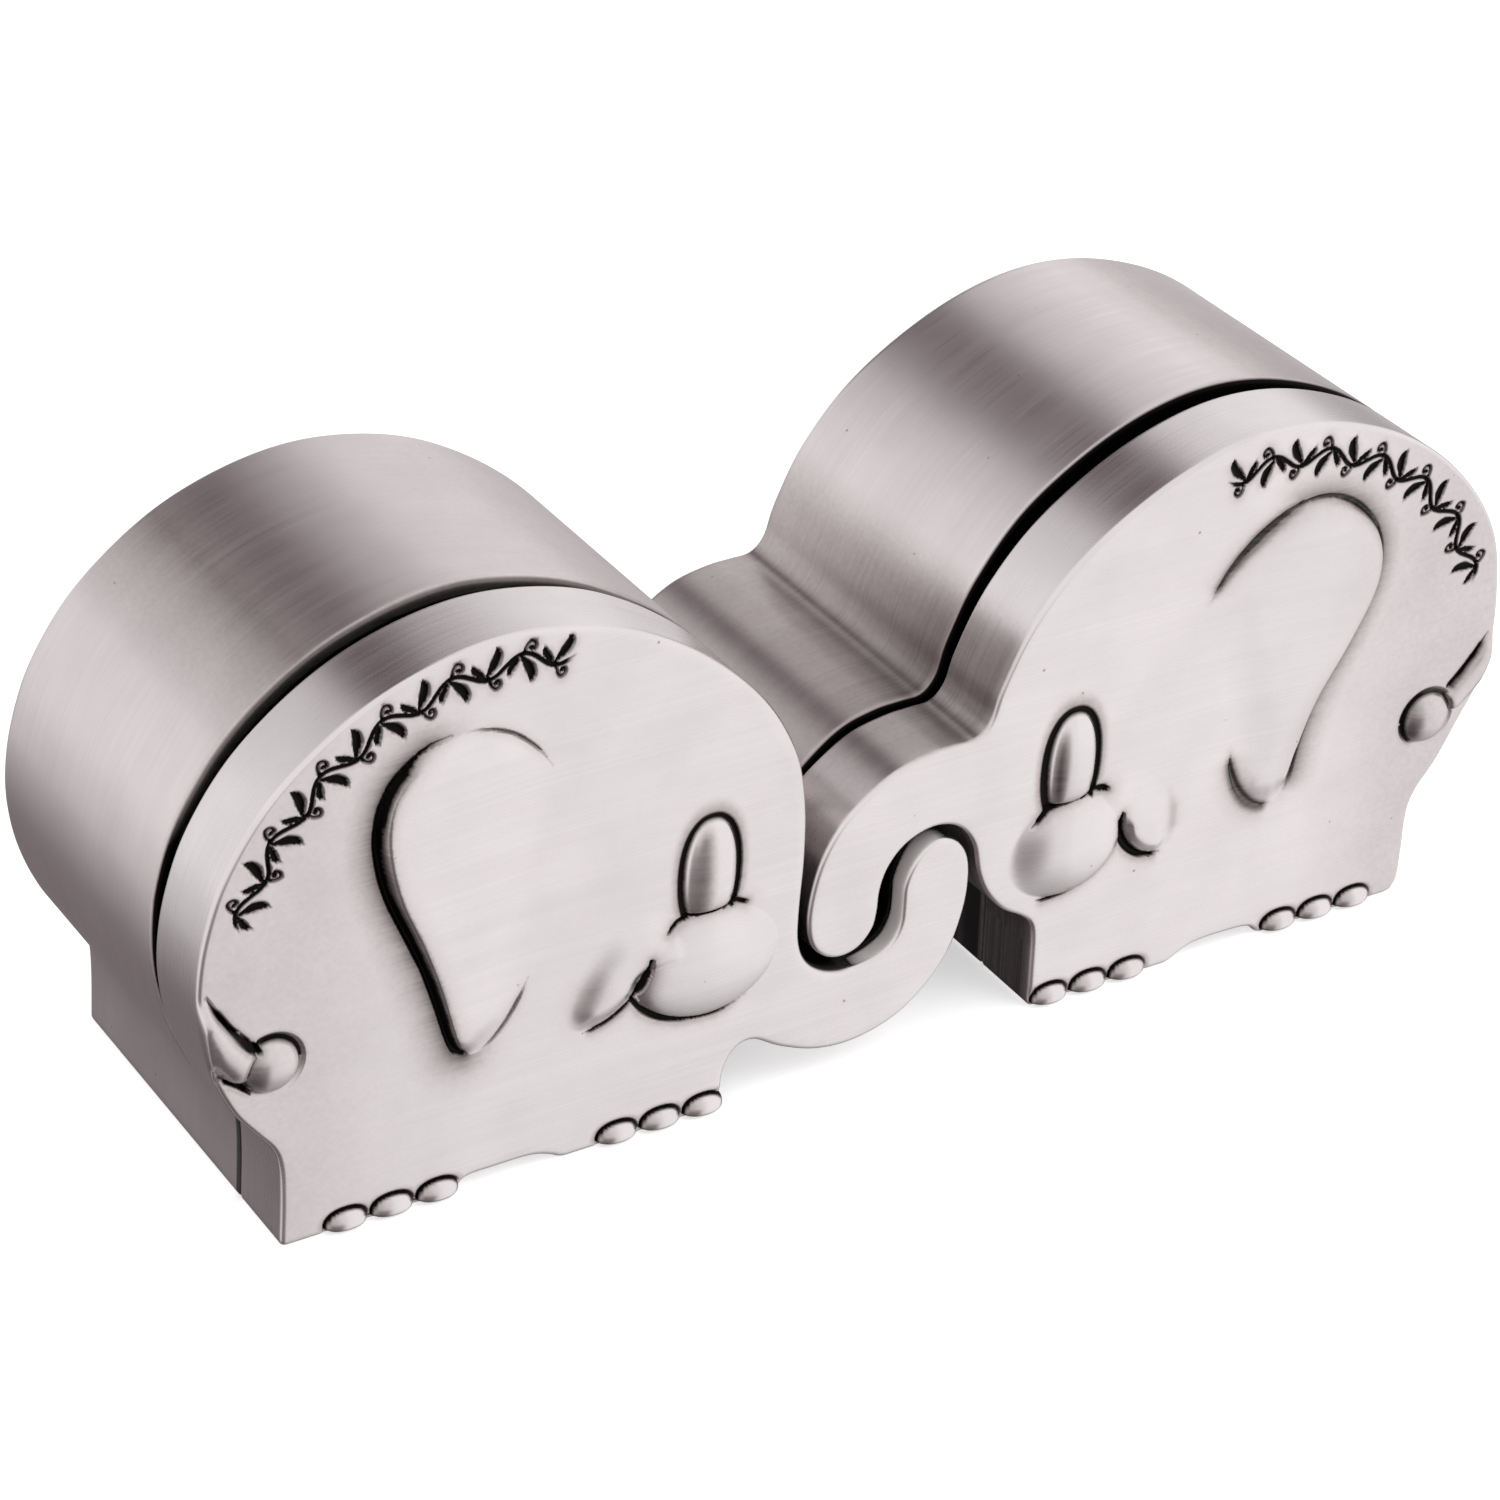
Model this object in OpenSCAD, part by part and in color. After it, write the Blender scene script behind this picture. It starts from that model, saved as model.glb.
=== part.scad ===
// Pair of keepsake boxes in the shape of two small elephants with linked trunks.
// The left one holds a first tooth and the right one a first curl of hair.
// Each is a deep cast box, open at the front, with a thick lid that pulls straight off forwards.
// Millimetres. X runs along the pair, Y runs from the lids to the backs, Z is up.
// The origin lies on the table, under the middle of the pair.

/* [Boxes] */
// Depth of a closed box, from the flat front of its lid to its back
box_depth = 30.2; // [26:0.2:36]
// Thickness of the back wall behind the cavity
back_wall = 2; // [1.2:0.2:4]
// Radius of the round cavity
cavity_r = 17; // [14:0.25:17.5]
// Height of the cavity's centre above the table
cavity_z = 20.5; // [20:0.25:21.5]
// Distance of each cavity's centre from the middle of the pair
cavity_x = 30.2; // [29:0.1:31]
// Width of the fingernail gap between a lid and its box, at the top of the back
nail_gap = 1.2; // [0.4:0.1:2]
// Height above the table at which the fingernail gap starts
nail_gap_foot = 15; // [10:0.5:20]

/* [Lids] */
// Thickness of a lid's plate
lid_t = 6.1; // [5:0.1:8]
// How far the relief stands proud of the plate
relief = 1.2; // [0.8:0.1:1.6]
// How far the locating lip reaches into the box
lip_depth = 2.4; // [1.5:0.1:3]
// Wall of the locating lip
lip_wall = 1.3; // [0.8:0.1:2]
// Clearance between the lip and the cavity wall
lip_clearance = 0.25; // [0.15:0.05:0.5]

/* [Relief] */
// Distance of an eye from the middle of the pair
eye_x = 14.8; // [14.4:0.1:15.2]
// Height of an eye's centre
eye_z = 20.4; // [20:0.1:21]
// Half the width of the sunk ring around an eye
eye_half_w = 2.55; // [2.2:0.05:2.8]
// Half the height of the sunk ring around an eye
eye_half_h = 4.3; // [3.8:0.1:4.6]
// Width of the sunk ring
eye_ring = 0.5; // [0.3:0.05:0.7]
// Depth of the sunk ring
ring_depth = 0.5; // [0.3:0.05:0.8]
// Radius of the ball at the tip of a tail
tail_ball_r = 2; // [1.6:0.1:2.4]
// Radius of the strand of a tail
tail_r = 0.9; // [0.6:0.05:1.2]
// Radius of a toe
toe_r = 1.75; // [1.5:0.05:2]
// Distance between toes
toe_pitch = 3.45; // [3.2:0.05:3.7]
// Distance of the first front toe from the middle of the pair
front_toe_x = 14.6; // [14.4:0.1:15]
// Distance of the first back toe from the middle of the pair
back_toe_x = 35.4; // [35:0.1:36]

/* [Linings and magnets] */
// Thickness of the flocked sleeve around a cavity
lining_t = 0.6; // [0.4:0.1:1.2]
// Thickness of the velvet pad on a cavity's back wall
back_pad_t = 1.2; // [0.8:0.1:2]
// Thickness of the velvet pad inside a lid's lip
lid_pad_t = 1; // [0.6:0.1:1.5]
// Diameter of a magnet
magnet_d = 5; // [3:0.5:5]
// Thickness of a magnet
magnet_t = 2; // [1:0.25:2.5]
// Height of the magnets' centres above the table
magnet_z = 4.6; // [4:0.1:5]
// Distance of a leg's magnet from the centre of the cavity, along X
magnet_x = 12.8; // [12.4:0.1:13.2]

/* [Hidden] */

$fn = 96;
tooth = -1;
curl = 1;
seat_gap = 0.05;
magnet_recess = 0.1;
root = 0.6;
beyond = 1;
curve_steps = 4;

y_front = -(box_depth - relief) / 2;
y_split = y_front + lid_t;
y_back = y_front + box_depth;
y_floor = y_back - back_wall;
back_top = 42.9;

// Tooth elephant, facing right: heel, rump, back and forehead
tooth_back = [
    [-47.1, 0], [-47, 4], [-47.1, 6.6], [-47.6, 8.2], [-48.9, 9.9], [-50.4, 12], [-51.8, 15.2],
    [-52.6, 18.5], [-52.8, 22], [-52.2, 26], [-50.6, 30.4], [-47.4, 35], [-42.6, 38.9], [-37.6, 41.2],
    [-32, 42.3], [-26.6, 41.9], [-21.2, 40.2], [-15.7, 36.8], [-11.2, 32.4], [-8.5, 27.8]
];
// Inside of its upturned trunk
tooth_hook = [
    [-7.5, 23.6], [-7.25, 19], [-7.4, 14.6], [-7.3, 11.9], [-6.6, 10.1], [-5.2, 8.9], [-3.4, 8.4],
    [-1.2, 8.6], [0.3, 9.4], [1.05, 10.8], [1.15, 12.4], [1.2, 14], [1.9, 15.7], [3.1, 16.8]
];
// Tip and underside of its trunk, down to the front foot
tooth_trunk = [
    [4.3, 17], [5.6, 16.3], [6.45, 14.9], [6.7, 13], [6.5, 10.6], [5.6, 7.6], [4, 5.2], [1.8, 3.3],
    [-0.7, 2.3], [-3.2, 2], [-5.8, 2.4], [-8.4, 3.5], [-10.6, 4.8], [-12, 4.6], [-12.9, 3.2],
    [-13.1, 1.6], [-13.1, 0]
];
tooth_belly = [[-25.9, 0], [-26.6, 0.45], [-28.2, 0.95], [-31, 1], [-33.2, 0.9], [-34, 0]];

// Curl elephant, facing left: heel, rump, back and forehead
curl_back = [
    [46.1, 0], [46.7, 0.8], [46.8, 3.4], [46.8, 6.8], [47.4, 8.7], [49, 10.9], [50.6, 13.9], [52, 16.6],
    [52.8, 20], [52.6, 24.6], [51.6, 29.2], [49.2, 33.3], [45.4, 37.2], [40.6, 40.3], [34.6, 42.4],
    [29, 42.9], [23.6, 41.9], [18.4, 39.6], [13.8, 36.4], [10.3, 32.3], [8.2, 28.1]
];
// Top of its trunk and the tip that hangs into the other trunk
curl_trunk = [
    [7.4, 25.6], [6.3, 24.5], [4.6, 24.4], [2.6, 24.3], [-0.1, 23.7], [-2.5, 22.3], [-4.5, 20.5],
    [-5.9, 18], [-6.6, 15.2], [-6.7, 12.9], [-6.2, 11.1], [-5, 9.9], [-3.6, 9.55], [-2.2, 10],
    [-1.2, 11.2]
];
// Inside of its trunk, down to the front foot
curl_hook = [
    [-0.9, 12.6], [-0.8, 14.2], [-0.3, 15.8], [0.8, 17.2], [2.4, 18], [4, 18.1], [5.6, 17.4],
    [6.8, 15.7], [7.4, 13.2], [8.3, 11.2], [9.8, 9.4], [11.6, 8.2], [12.4, 7.4], [12.7, 6.2],
    [12.8, 3.4], [12.9, 0]
];
curl_belly = [[25.4, 0], [26.1, 0.45], [27.6, 1], [30, 1.1], [32.6, 0.9], [33.6, 0]];

// Ears, the raised edge from the top round the rump side to the tip and back inside
tooth_ear = [
    [-26.4, 30.6], [-27.9, 33], [-30, 35], [-32.6, 35.9], [-35.4, 35.8], [-37.9, 35], [-39.4, 33.5],
    [-40.1, 31.3], [-40, 28.4], [-39.1, 24.8], [-37.4, 20.8], [-36, 16.8], [-34.8, 12.6], [-33.7, 11.2],
    [-32, 11.3], [-30.4, 12.8], [-29, 15.2], [-28.2, 18.2]
];
curl_ear = [
    [25.8, 30.6], [27.2, 33], [29.8, 35], [32.6, 36.3], [34.6, 36.6], [36.8, 36.2], [38.8, 34.9],
    [40.2, 33], [40.8, 30.5], [40.4, 27.6], [38.8, 23.6], [36.8, 19.9], [35.6, 16.4], [34.8, 13.2],
    [33.8, 11.9], [32.2, 11.8], [30.6, 13], [29.3, 15.4], [28.6, 18.2]
];
// Tusk, drawn for the right-hand elephant
tusk = [
    [17.4, 17.3], [19.2, 18.2], [21.6, 17.7], [23.6, 15.6], [24.8, 12.9], [24.7, 11], [23.4, 10.2],
    [21.6, 10.9], [20.2, 12.4], [18.6, 14.6]
];
// Cheek, half its width and height
cheek = [5.4, 4.3];
cheek_x = 14.9;
cheek_z = 12.8;
tail_x = 47.6;
tail_z = 15;
tail_end = [52.6, 19];

// Point at t on the curve between b and c, with a before and d after them
function curve_point(a, b, c, d, t) =
    0.5 * (2 * b + (c - a) * t + (2 * a - 5 * b + 4 * c - d) * t * t
    + (3 * b - a - 3 * c + d) * t * t * t);

// Smooth open curve through a list of points
function smooth(k) = let (n = len(k) - 1) concat([
    for (i = [0:n - 1], s = [0:curve_steps - 1])
        curve_point(
            i == 0 ? 2 * k[0] - k[1] : k[i - 1], k[i], k[i + 1],
            i == n - 1 ? 2 * k[n] - k[n - 1] : k[i + 2], s / curve_steps)
], [k[n]]);

// Smooth closed curve through a list of points
function smooth_loop(k) = let (n = len(k)) [
    for (i = [0:n - 1], s = [0:curve_steps - 1])
        curve_point(k[(i + n - 1) % n], k[i], k[(i + 1) % n], k[(i + 2) % n], s / curve_steps)
];

function ellipse(half_w, half_h) = [for (i = [0:35]) [half_w * cos(10 * i), half_h * sin(10 * i)]];

// Radius of a dome that is half_w out from its centre where it meets the plate
function dome_r(half_w, h) = (half_w * half_w + h * h) / (2 * h);

tooth_outline = concat(smooth(concat(tooth_back, tooth_hook, tooth_trunk)), smooth(tooth_belly));
curl_outline = concat(smooth(concat(curl_back, curl_trunk, curl_hook)), smooth(curl_belly));

function outline(side) = side == tooth ? tooth_outline : curl_outline;
function ear(side) = side == tooth ? tooth_ear : curl_ear;

// Upright profile in X and Z, filled from y0 back to y1
module slab(y0, y1) {
    translate([0, y1, 0])
        rotate([90, 0, 0])
            linear_extrude(y1 - y0)
                children();
}

// Round bar along Y, centred on x and z
module bar(x, z, r, y0, y1) {
    translate([x, y1, z])
        rotate([90, 0, 0])
            cylinder(h = y1 - y0, r = r);
}

// Tilted cut that leaves the fingernail gap at the top of the box's rim
module nail_cut() {
    rise = back_top - nail_gap_foot;
    rotate([90, 0, 90])
        translate([0, 0, -60])
            linear_extrude(120)
                polygon([
                    [y_split - beyond, nail_gap_foot - beyond * rise / nail_gap],
                    [y_split + nail_gap + beyond * nail_gap / rise, back_top + beyond],
                    [y_split - beyond, back_top + beyond]
                ]);
}

module magnet_pockets(side, y0, y1) {
    for (s = [-1, 1])
        bar(side * cavity_x + s * magnet_x, magnet_z, magnet_d / 2 + seat_gap, y0, y1);
}

module body(side) {
    difference() {
        slab(y_split, y_back) polygon(outline(side));
        bar(side * cavity_x, cavity_z, cavity_r, y_split - beyond, y_floor);
        magnet_pockets(side, y_split - beyond, y_split + magnet_recess + magnet_t);
        nail_cut();
    }
}

// Ear, highest along the rump side and running out into the plate on the face side
module ear_relief(side) {
    fade_x = 27;
    edge_x = 40;
    intersection() {
        slab(y_front - relief, y_front + root) polygon(smooth_loop(ear(side)));
        linear_extrude(back_top)
            polygon([
                [side * fade_x, y_front + root],
                [side * fade_x, y_front - 0.15],
                [side * edge_x, y_front - 0.9 * relief],
                [side * (edge_x + 2), y_front - 0.9 * relief],
                [side * (edge_x + 2), y_front + root]
            ]);
    }
}

// Upright dome, wide as its oval and standing h proud of the plate
module oval_dome(x, z, half_w, half_h, h, sphere_w) {
    r = dome_r(sphere_w, h);
    intersection() {
        slab(y_front - relief, y_front + root)
            translate([x, z])
                polygon(ellipse(half_w, half_h));
        translate([x, y_front - h + r, z])
            sphere(r = r, $fn = 128);
    }
}

module eye_ring_cut(side) {
    slab(y_front - relief - beyond, y_front + ring_depth)
        translate([side * eye_x, eye_z])
            difference() {
                polygon(ellipse(eye_half_w, eye_half_h));
                polygon(ellipse(eye_half_w - eye_ring, eye_half_h - eye_ring));
            }
}

module eye_relief(side) {
    half_w = eye_half_w - eye_ring;
    h = 0.8 * relief;
    r = dome_r(half_w, h);
    intersection() {
        slab(y_front - relief, y_front + root)
            translate([side * eye_x, eye_z])
                polygon(ellipse(half_w, eye_half_h - eye_ring));
        translate([side * eye_x, y_front - h + r, 0])
            cylinder(h = back_top, r = r);
    }
}

module cheek_relief(side) {
    oval_dome(side * cheek_x, cheek_z, cheek[0], cheek[1], 0.9 * relief, 5.8);
}

module tusk_relief(side) {
    h = 0.75 * relief;
    r = dome_r(5.4, h);
    intersection() {
        slab(y_front - relief, y_front + root)
            polygon([for (p = smooth_loop(tusk)) [side * p[0], p[1]]]);
        translate([side * 22, y_front - h + r, 14.4])
            sphere(r = r, $fn = 128);
    }
}

module tail_relief(side) {
    run = tail_end - [tail_x, tail_z];
    intersection() {
        union() {
            translate([side * tail_x, y_front - relief + tail_ball_r, tail_z])
                sphere(r = tail_ball_r, $fn = 64);
            translate([side * tail_x, y_front + 0.1, tail_z])
                rotate([0, side * atan2(run[0], run[1]), 0])
                    cylinder(h = norm(run) + beyond, r = tail_r, $fn = 48);
        }
        slab(y_front - relief, y_front + lid_t / 2) polygon(outline(side));
    }
}

module toes_relief(side) {
    intersection() {
        for (start = [front_toe_x, back_toe_x], i = [0:2])
            translate([side * (start + i * toe_pitch), y_front - relief + toe_r, 0])
                sphere(r = toe_r, $fn = 64);
        translate([-60, y_front - 2 * relief, 0])
            cube([120, 2 * relief + lid_t / 2, 2 * toe_r]);
    }
}

module lid(side) {
    lip_r = cavity_r - lip_clearance;
    difference() {
        union() {
            difference() {
                union() {
                    slab(y_front, y_split) polygon(outline(side));
                    ear_relief(side);
                    tusk_relief(side);
                }
                eye_ring_cut(side);
            }
            eye_relief(side);
            cheek_relief(side);
            tail_relief(side);
            toes_relief(side);
            bar(side * cavity_x, cavity_z, lip_r, y_split - root, y_split + lip_depth);
        }
        bar(side * cavity_x, cavity_z, lip_r - lip_wall, y_split, y_split + lip_depth + beyond);
        magnet_pockets(side, y_split - magnet_recess - magnet_t, y_split + beyond);
    }
}

// Flocked sleeve that lines the cavity behind the lid's lip
module lining(side) {
    y0 = y_split + lip_depth + 0.5;
    difference() {
        bar(side * cavity_x, cavity_z, cavity_r - seat_gap, y0, y_floor);
        bar(side * cavity_x, cavity_z, cavity_r - seat_gap - lining_t, y0 - beyond, y_floor + beyond);
    }
}

module back_pad(side) {
    r = cavity_r - lining_t - 3 * seat_gap;
    bar(side * cavity_x, cavity_z, r, y_floor - back_pad_t, y_floor);
}

module lid_pad(side) {
    r = cavity_r - lip_clearance - lip_wall - seat_gap;
    bar(side * cavity_x, cavity_z, r, y_split, y_split + lid_pad_t);
}

// Magnet in a leg: at = -1 is the left leg of a box and 1 the right one
module magnet(side, at, y0) {
    bar(side * cavity_x + at * magnet_x, magnet_z, magnet_d / 2, y0, y0 + magnet_t);
}

body_magnet_y = y_split + magnet_recess;
lid_magnet_y = y_split - magnet_recess - magnet_t;

module tooth_body() { color([0.66, 0.63, 0.62]) body(tooth); }
module tooth_lid() { color([0.78, 0.76, 0.75]) lid(tooth); }
module tooth_lining() { color([0.14, 0.16, 0.3]) lining(tooth); }
module tooth_back_pad() { color([0.16, 0.18, 0.34]) back_pad(tooth); }
module tooth_lid_pad() { color([0.16, 0.18, 0.34]) lid_pad(tooth); }
module tooth_body_magnet_front() { color([0.8, 0.8, 0.82]) magnet(tooth, 1, body_magnet_y); }
module tooth_body_magnet_back() { color([0.8, 0.8, 0.82]) magnet(tooth, -1, body_magnet_y); }
module tooth_lid_magnet_front() { color([0.8, 0.8, 0.82]) magnet(tooth, 1, lid_magnet_y); }
module tooth_lid_magnet_back() { color([0.8, 0.8, 0.82]) magnet(tooth, -1, lid_magnet_y); }
module curl_body() { color([0.66, 0.63, 0.62]) body(curl); }
module curl_lid() { color([0.78, 0.76, 0.75]) lid(curl); }
module curl_lining() { color([0.14, 0.16, 0.3]) lining(curl); }
module curl_back_pad() { color([0.16, 0.18, 0.34]) back_pad(curl); }
module curl_lid_pad() { color([0.16, 0.18, 0.34]) lid_pad(curl); }
module curl_body_magnet_front() { color([0.8, 0.8, 0.82]) magnet(curl, -1, body_magnet_y); }
module curl_body_magnet_back() { color([0.8, 0.8, 0.82]) magnet(curl, 1, body_magnet_y); }
module curl_lid_magnet_front() { color([0.8, 0.8, 0.82]) magnet(curl, -1, lid_magnet_y); }
module curl_lid_magnet_back() { color([0.8, 0.8, 0.82]) magnet(curl, 1, lid_magnet_y); }

tooth_body();
tooth_lid();
tooth_lining();
tooth_back_pad();
tooth_lid_pad();
tooth_body_magnet_front();
tooth_body_magnet_back();
tooth_lid_magnet_front();
tooth_lid_magnet_back();
curl_body();
curl_lid();
curl_lining();
curl_back_pad();
curl_lid_pad();
curl_body_magnet_front();
curl_body_magnet_back();
curl_lid_magnet_front();
curl_lid_magnet_back();
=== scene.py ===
# %% [markdown]
# # A pair of cast pewter keepsake boxes
# Two small elephants stand side by side and hold each other by the trunk. Each one is a deep cast
# box with a thick lid that pulls off forwards. The sizes and the moving bodies are already settled
# in the CAD model, so this lesson only dresses them: a softer casting with low relief on the lids,
# a brushed and darkened finish, linings, light and a camera.
#
# The CAD model is loaded first. All its parts lie in one frame in metres: X runs along the pair,
# the lids face -Y, and Z is up.

# %% Load the CAD frame
import math
import bmesh
import bpy
import numpy as np
from mathutils import Matrix, Vector
from mathutils.geometry import delaunay_2d_cdt
from mathutils.kdtree import KDTree


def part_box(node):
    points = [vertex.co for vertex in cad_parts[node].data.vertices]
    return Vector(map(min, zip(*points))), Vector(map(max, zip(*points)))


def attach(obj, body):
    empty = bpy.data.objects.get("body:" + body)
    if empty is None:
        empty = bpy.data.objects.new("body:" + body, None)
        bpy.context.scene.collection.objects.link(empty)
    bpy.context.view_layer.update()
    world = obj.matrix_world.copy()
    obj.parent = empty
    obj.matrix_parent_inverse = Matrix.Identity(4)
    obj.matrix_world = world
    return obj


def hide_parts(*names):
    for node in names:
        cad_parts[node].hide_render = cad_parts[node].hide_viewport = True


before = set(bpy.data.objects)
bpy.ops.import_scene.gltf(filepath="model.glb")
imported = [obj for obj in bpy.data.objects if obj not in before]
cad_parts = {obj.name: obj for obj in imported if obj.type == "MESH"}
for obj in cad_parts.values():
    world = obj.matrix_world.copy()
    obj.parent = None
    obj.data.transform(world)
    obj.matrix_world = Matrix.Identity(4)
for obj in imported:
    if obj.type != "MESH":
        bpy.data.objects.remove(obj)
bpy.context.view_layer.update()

# %% [markdown]
# ## The camera
# Straight lines on a real object tell where a photograph was taken from. The camera here stands to
# the left of the lids and above them, and it leans a little, so the pair climbs towards the right.
# A camera looks along its own -Z, so its matrix is built from three directions: right, up and back.
#
# An object shows only once it is linked to the scene, so the first helper does both at once.

# %% Place the camera
AZIMUTH = math.radians(-33.26)
ELEVATION = math.radians(31.28)
LEAN = math.radians(3.15)
CAMERA_PLACE = Vector((-0.1539, -0.2304, 0.1857))
SENSOR, LENS, CLIP_START = 36.0, 109.39, 0.01

def in_scene(name, data):
    """A new object of that name, linked to the scene."""
    obj = bpy.data.objects.new(name, data)
    bpy.context.scene.collection.objects.link(obj)
    return obj

camera_data = bpy.data.cameras.new("camera")
camera_data.sensor_width = SENSOR
camera_data.lens = LENS
camera_data.clip_start = CLIP_START
camera = in_scene("camera", camera_data)
forward = Vector((-math.sin(AZIMUTH) * math.cos(ELEVATION),
                  math.cos(AZIMUTH) * math.cos(ELEVATION),
                  -math.sin(ELEVATION)))
level = Vector((math.cos(AZIMUTH), math.sin(AZIMUTH), 0))
upright = level.cross(forward)
right = math.cos(LEAN) * level + math.sin(LEAN) * upright
up = math.cos(LEAN) * upright - math.sin(LEAN) * level
turn = Matrix((right, up, -forward)).transposed().to_4x4()
camera.matrix_world = Matrix.Translation(CAMERA_PLACE) @ turn
bpy.context.scene.camera = camera
print("camera looks along", [round(v, 3) for v in forward])

# %% [markdown]
# ## Levels taken from the CAD parts
# A dressed part must sit exactly where its CAD part is. So the levels along Y are read off the CAD
# boxes. The lid's box reaches to the top of its raised toes, so their height is taken off again to
# find its face. From here on all shapes are worked out in millimetres, because small numbers such
# as 0.35 are easier to read than 0.00035, and they become metres when a mesh is made.

# %% Read the levels
MM = 0.001
CAD_TOES_PROUD = 1.2
Y_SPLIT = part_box("tooth_body")[0].y / MM
Y_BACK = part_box("tooth_body")[1].y / MM
Y_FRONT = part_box("tooth_lid")[0].y / MM + CAD_TOES_PROUD
Y_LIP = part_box("tooth_lid")[1].y / MM
SIDES = {"tooth": -1, "curl": 1}
print(f"face {Y_FRONT:.2f}, seam {Y_SPLIT:.2f}, lip {Y_LIP:.2f}, back {Y_BACK:.2f}")

# %% [markdown]
# ## The outline of an elephant
# The back of a CAD box is flat, and its border is the elephant's outline. Its triangles are found
# by their height along Y. An edge that only one triangle uses lies on the border, and following
# these edges from point to point gives the outline.

# %% Read an outline off a CAD part
def back_border(node):
    """Border of a node's flat back as points in X and Z, anticlockwise seen from the front."""
    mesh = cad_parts[node].data
    mesh.calc_loop_triangles()
    corner = np.empty(len(mesh.vertices) * 3)
    mesh.vertices.foreach_get("co", corner)
    corner = corner.reshape(-1, 3) / MM
    triangle = np.empty(len(mesh.loop_triangles) * 3, int)
    mesh.loop_triangles.foreach_get("vertices", triangle)
    at = corner[triangle.reshape(-1, 3)]
    at = at[(at[:, :, 1] > corner[:, 1].max() - 0.01).all(axis=1)]
    edges = set()
    for three in at.round(3):
        names = [(float(p[0]), float(p[2])) for p in three]
        edges.update(zip(names, names[1:] + names[:1]))
    after = {a: b for a, b in edges if (b, a) not in edges}
    border = [min(after)]
    while after[border[-1]] != border[0]:
        border.append(after[border[-1]])
    return np.array(border[::-1])

borders = {kind: back_border(kind + "_body") for kind in SIDES}
print({kind: len(border) for kind, border in borders.items()}, "border points")

# %% [markdown]
# ## Smooth curves
# The CAD outline is made of short straight pieces, which would show as facets on polished metal.
# A Catmull-Rom curve runs smoothly through given points, so it is used for the outline and for all
# lines of the relief. Each point of the curve also carries its knot number, such as 2.25, so that
# a width or a steepness given knot by knot can be read anywhere along the curve.

# %% Draw a smooth curve
def curve(knots, steps=6, closed=False):
    """Points of a smooth curve through the knots, and the knot number at each point."""
    knots = np.asarray(knots, float)
    if closed:
        padded = np.vstack([knots[-1:], knots, knots[:2]])
    else:
        padded = np.vstack([2 * knots[:1] - knots[1:2], knots, 2 * knots[-1:] - knots[-2:-1]])
    count = len(padded) - 3
    t = np.tile(np.arange(steps) / steps, count)[:, None]
    at = np.repeat(np.arange(count), steps)
    a, b, c, d = (padded[at + i] for i in range(4))
    points = 0.5 * (2 * b + (c - a) * t + (2 * a - 5 * b + 4 * c - d) * t ** 2
                    + (3 * b - a - 3 * c + d) * t ** 3)
    number = at + t[:, 0]
    if closed:
        return np.vstack([points, points[:1]]), np.append(number, count)
    return np.vstack([points, knots[-1:]]), np.append(number, count)

# %% [markdown]
# The feet have real corners, and a smooth curve would swing out there. So the border is cut at its
# corners, each run between them is smoothed by itself, and each corner gets a small round of its
# own, as on any casting that has been fettled and brushed. The outline's first point is then moved
# away from its corner, so that the seam of the brush marks falls on a plain stretch of wall.

# %% Smooth the outlines
CORNER_TURN = 30
CORNER_ROUND = 0.55
OUTLINE_PITCH = 0.36
SEAM_SHIFT = 20

def smooth_outline(border):
    """Outline with smooth runs and small rounds at the corners."""
    step = np.roll(border, -1, axis=0) - border
    heading = np.degrees(np.arctan2(step[:, 1], step[:, 0]))
    turns = (heading - np.roll(heading, 1) + 180) % 360 - 180
    corners = np.flatnonzero(np.abs(turns) > CORNER_TURN)
    points = []
    for first, last in zip(corners, np.roll(corners, -1)):
        steps = (last - first - 1) % len(border) + 1
        points.append(smooth_run(border[np.arange(first, first + steps + 1) % len(border)]))
    rounded = []
    for run, following in zip(points, points[1:] + points[:1]):
        rounded.append(run[1:-1])
        rounded.append(corner_round(run, following))
    return np.roll(np.vstack(rounded), SEAM_SHIFT, axis=0)

def smooth_run(run):
    """A run between two corners, kept clear of them by the size of the corner round."""
    dense, _ = curve(run, steps=4)
    length = np.append(0, np.cumsum(np.hypot(*np.diff(dense, axis=0).T)))
    count = max(4, int(length[-1] / OUTLINE_PITCH))
    at = np.linspace(CORNER_ROUND, length[-1] - CORNER_ROUND, count)
    x = np.interp(at, length, dense[:, 0])
    z = np.interp(at, length, dense[:, 1])
    return np.vstack([dense[:1], np.column_stack([x, z]), dense[-1:]])

def corner_round(run, following):
    """Small curve that leads from one run to the next past their common corner."""
    t = np.linspace(0, 1, 8)[1:-1, None]
    start, corner, end = run[-2], run[-1], following[1]
    return (1 - t) ** 2 * start + 2 * t * (1 - t) * corner + t ** 2 * end

outlines = {kind: smooth_outline(border) for kind, border in borders.items()}
print({kind: len(outline) for kind, outline in outlines.items()}, "outline points")

# %% [markdown]
# A few questions come up again and again: how far is a point from a curve, which way is outwards, how
# long is the way round, and does a point lie inside? Each gets a small function that works on many
# points at once.

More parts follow.
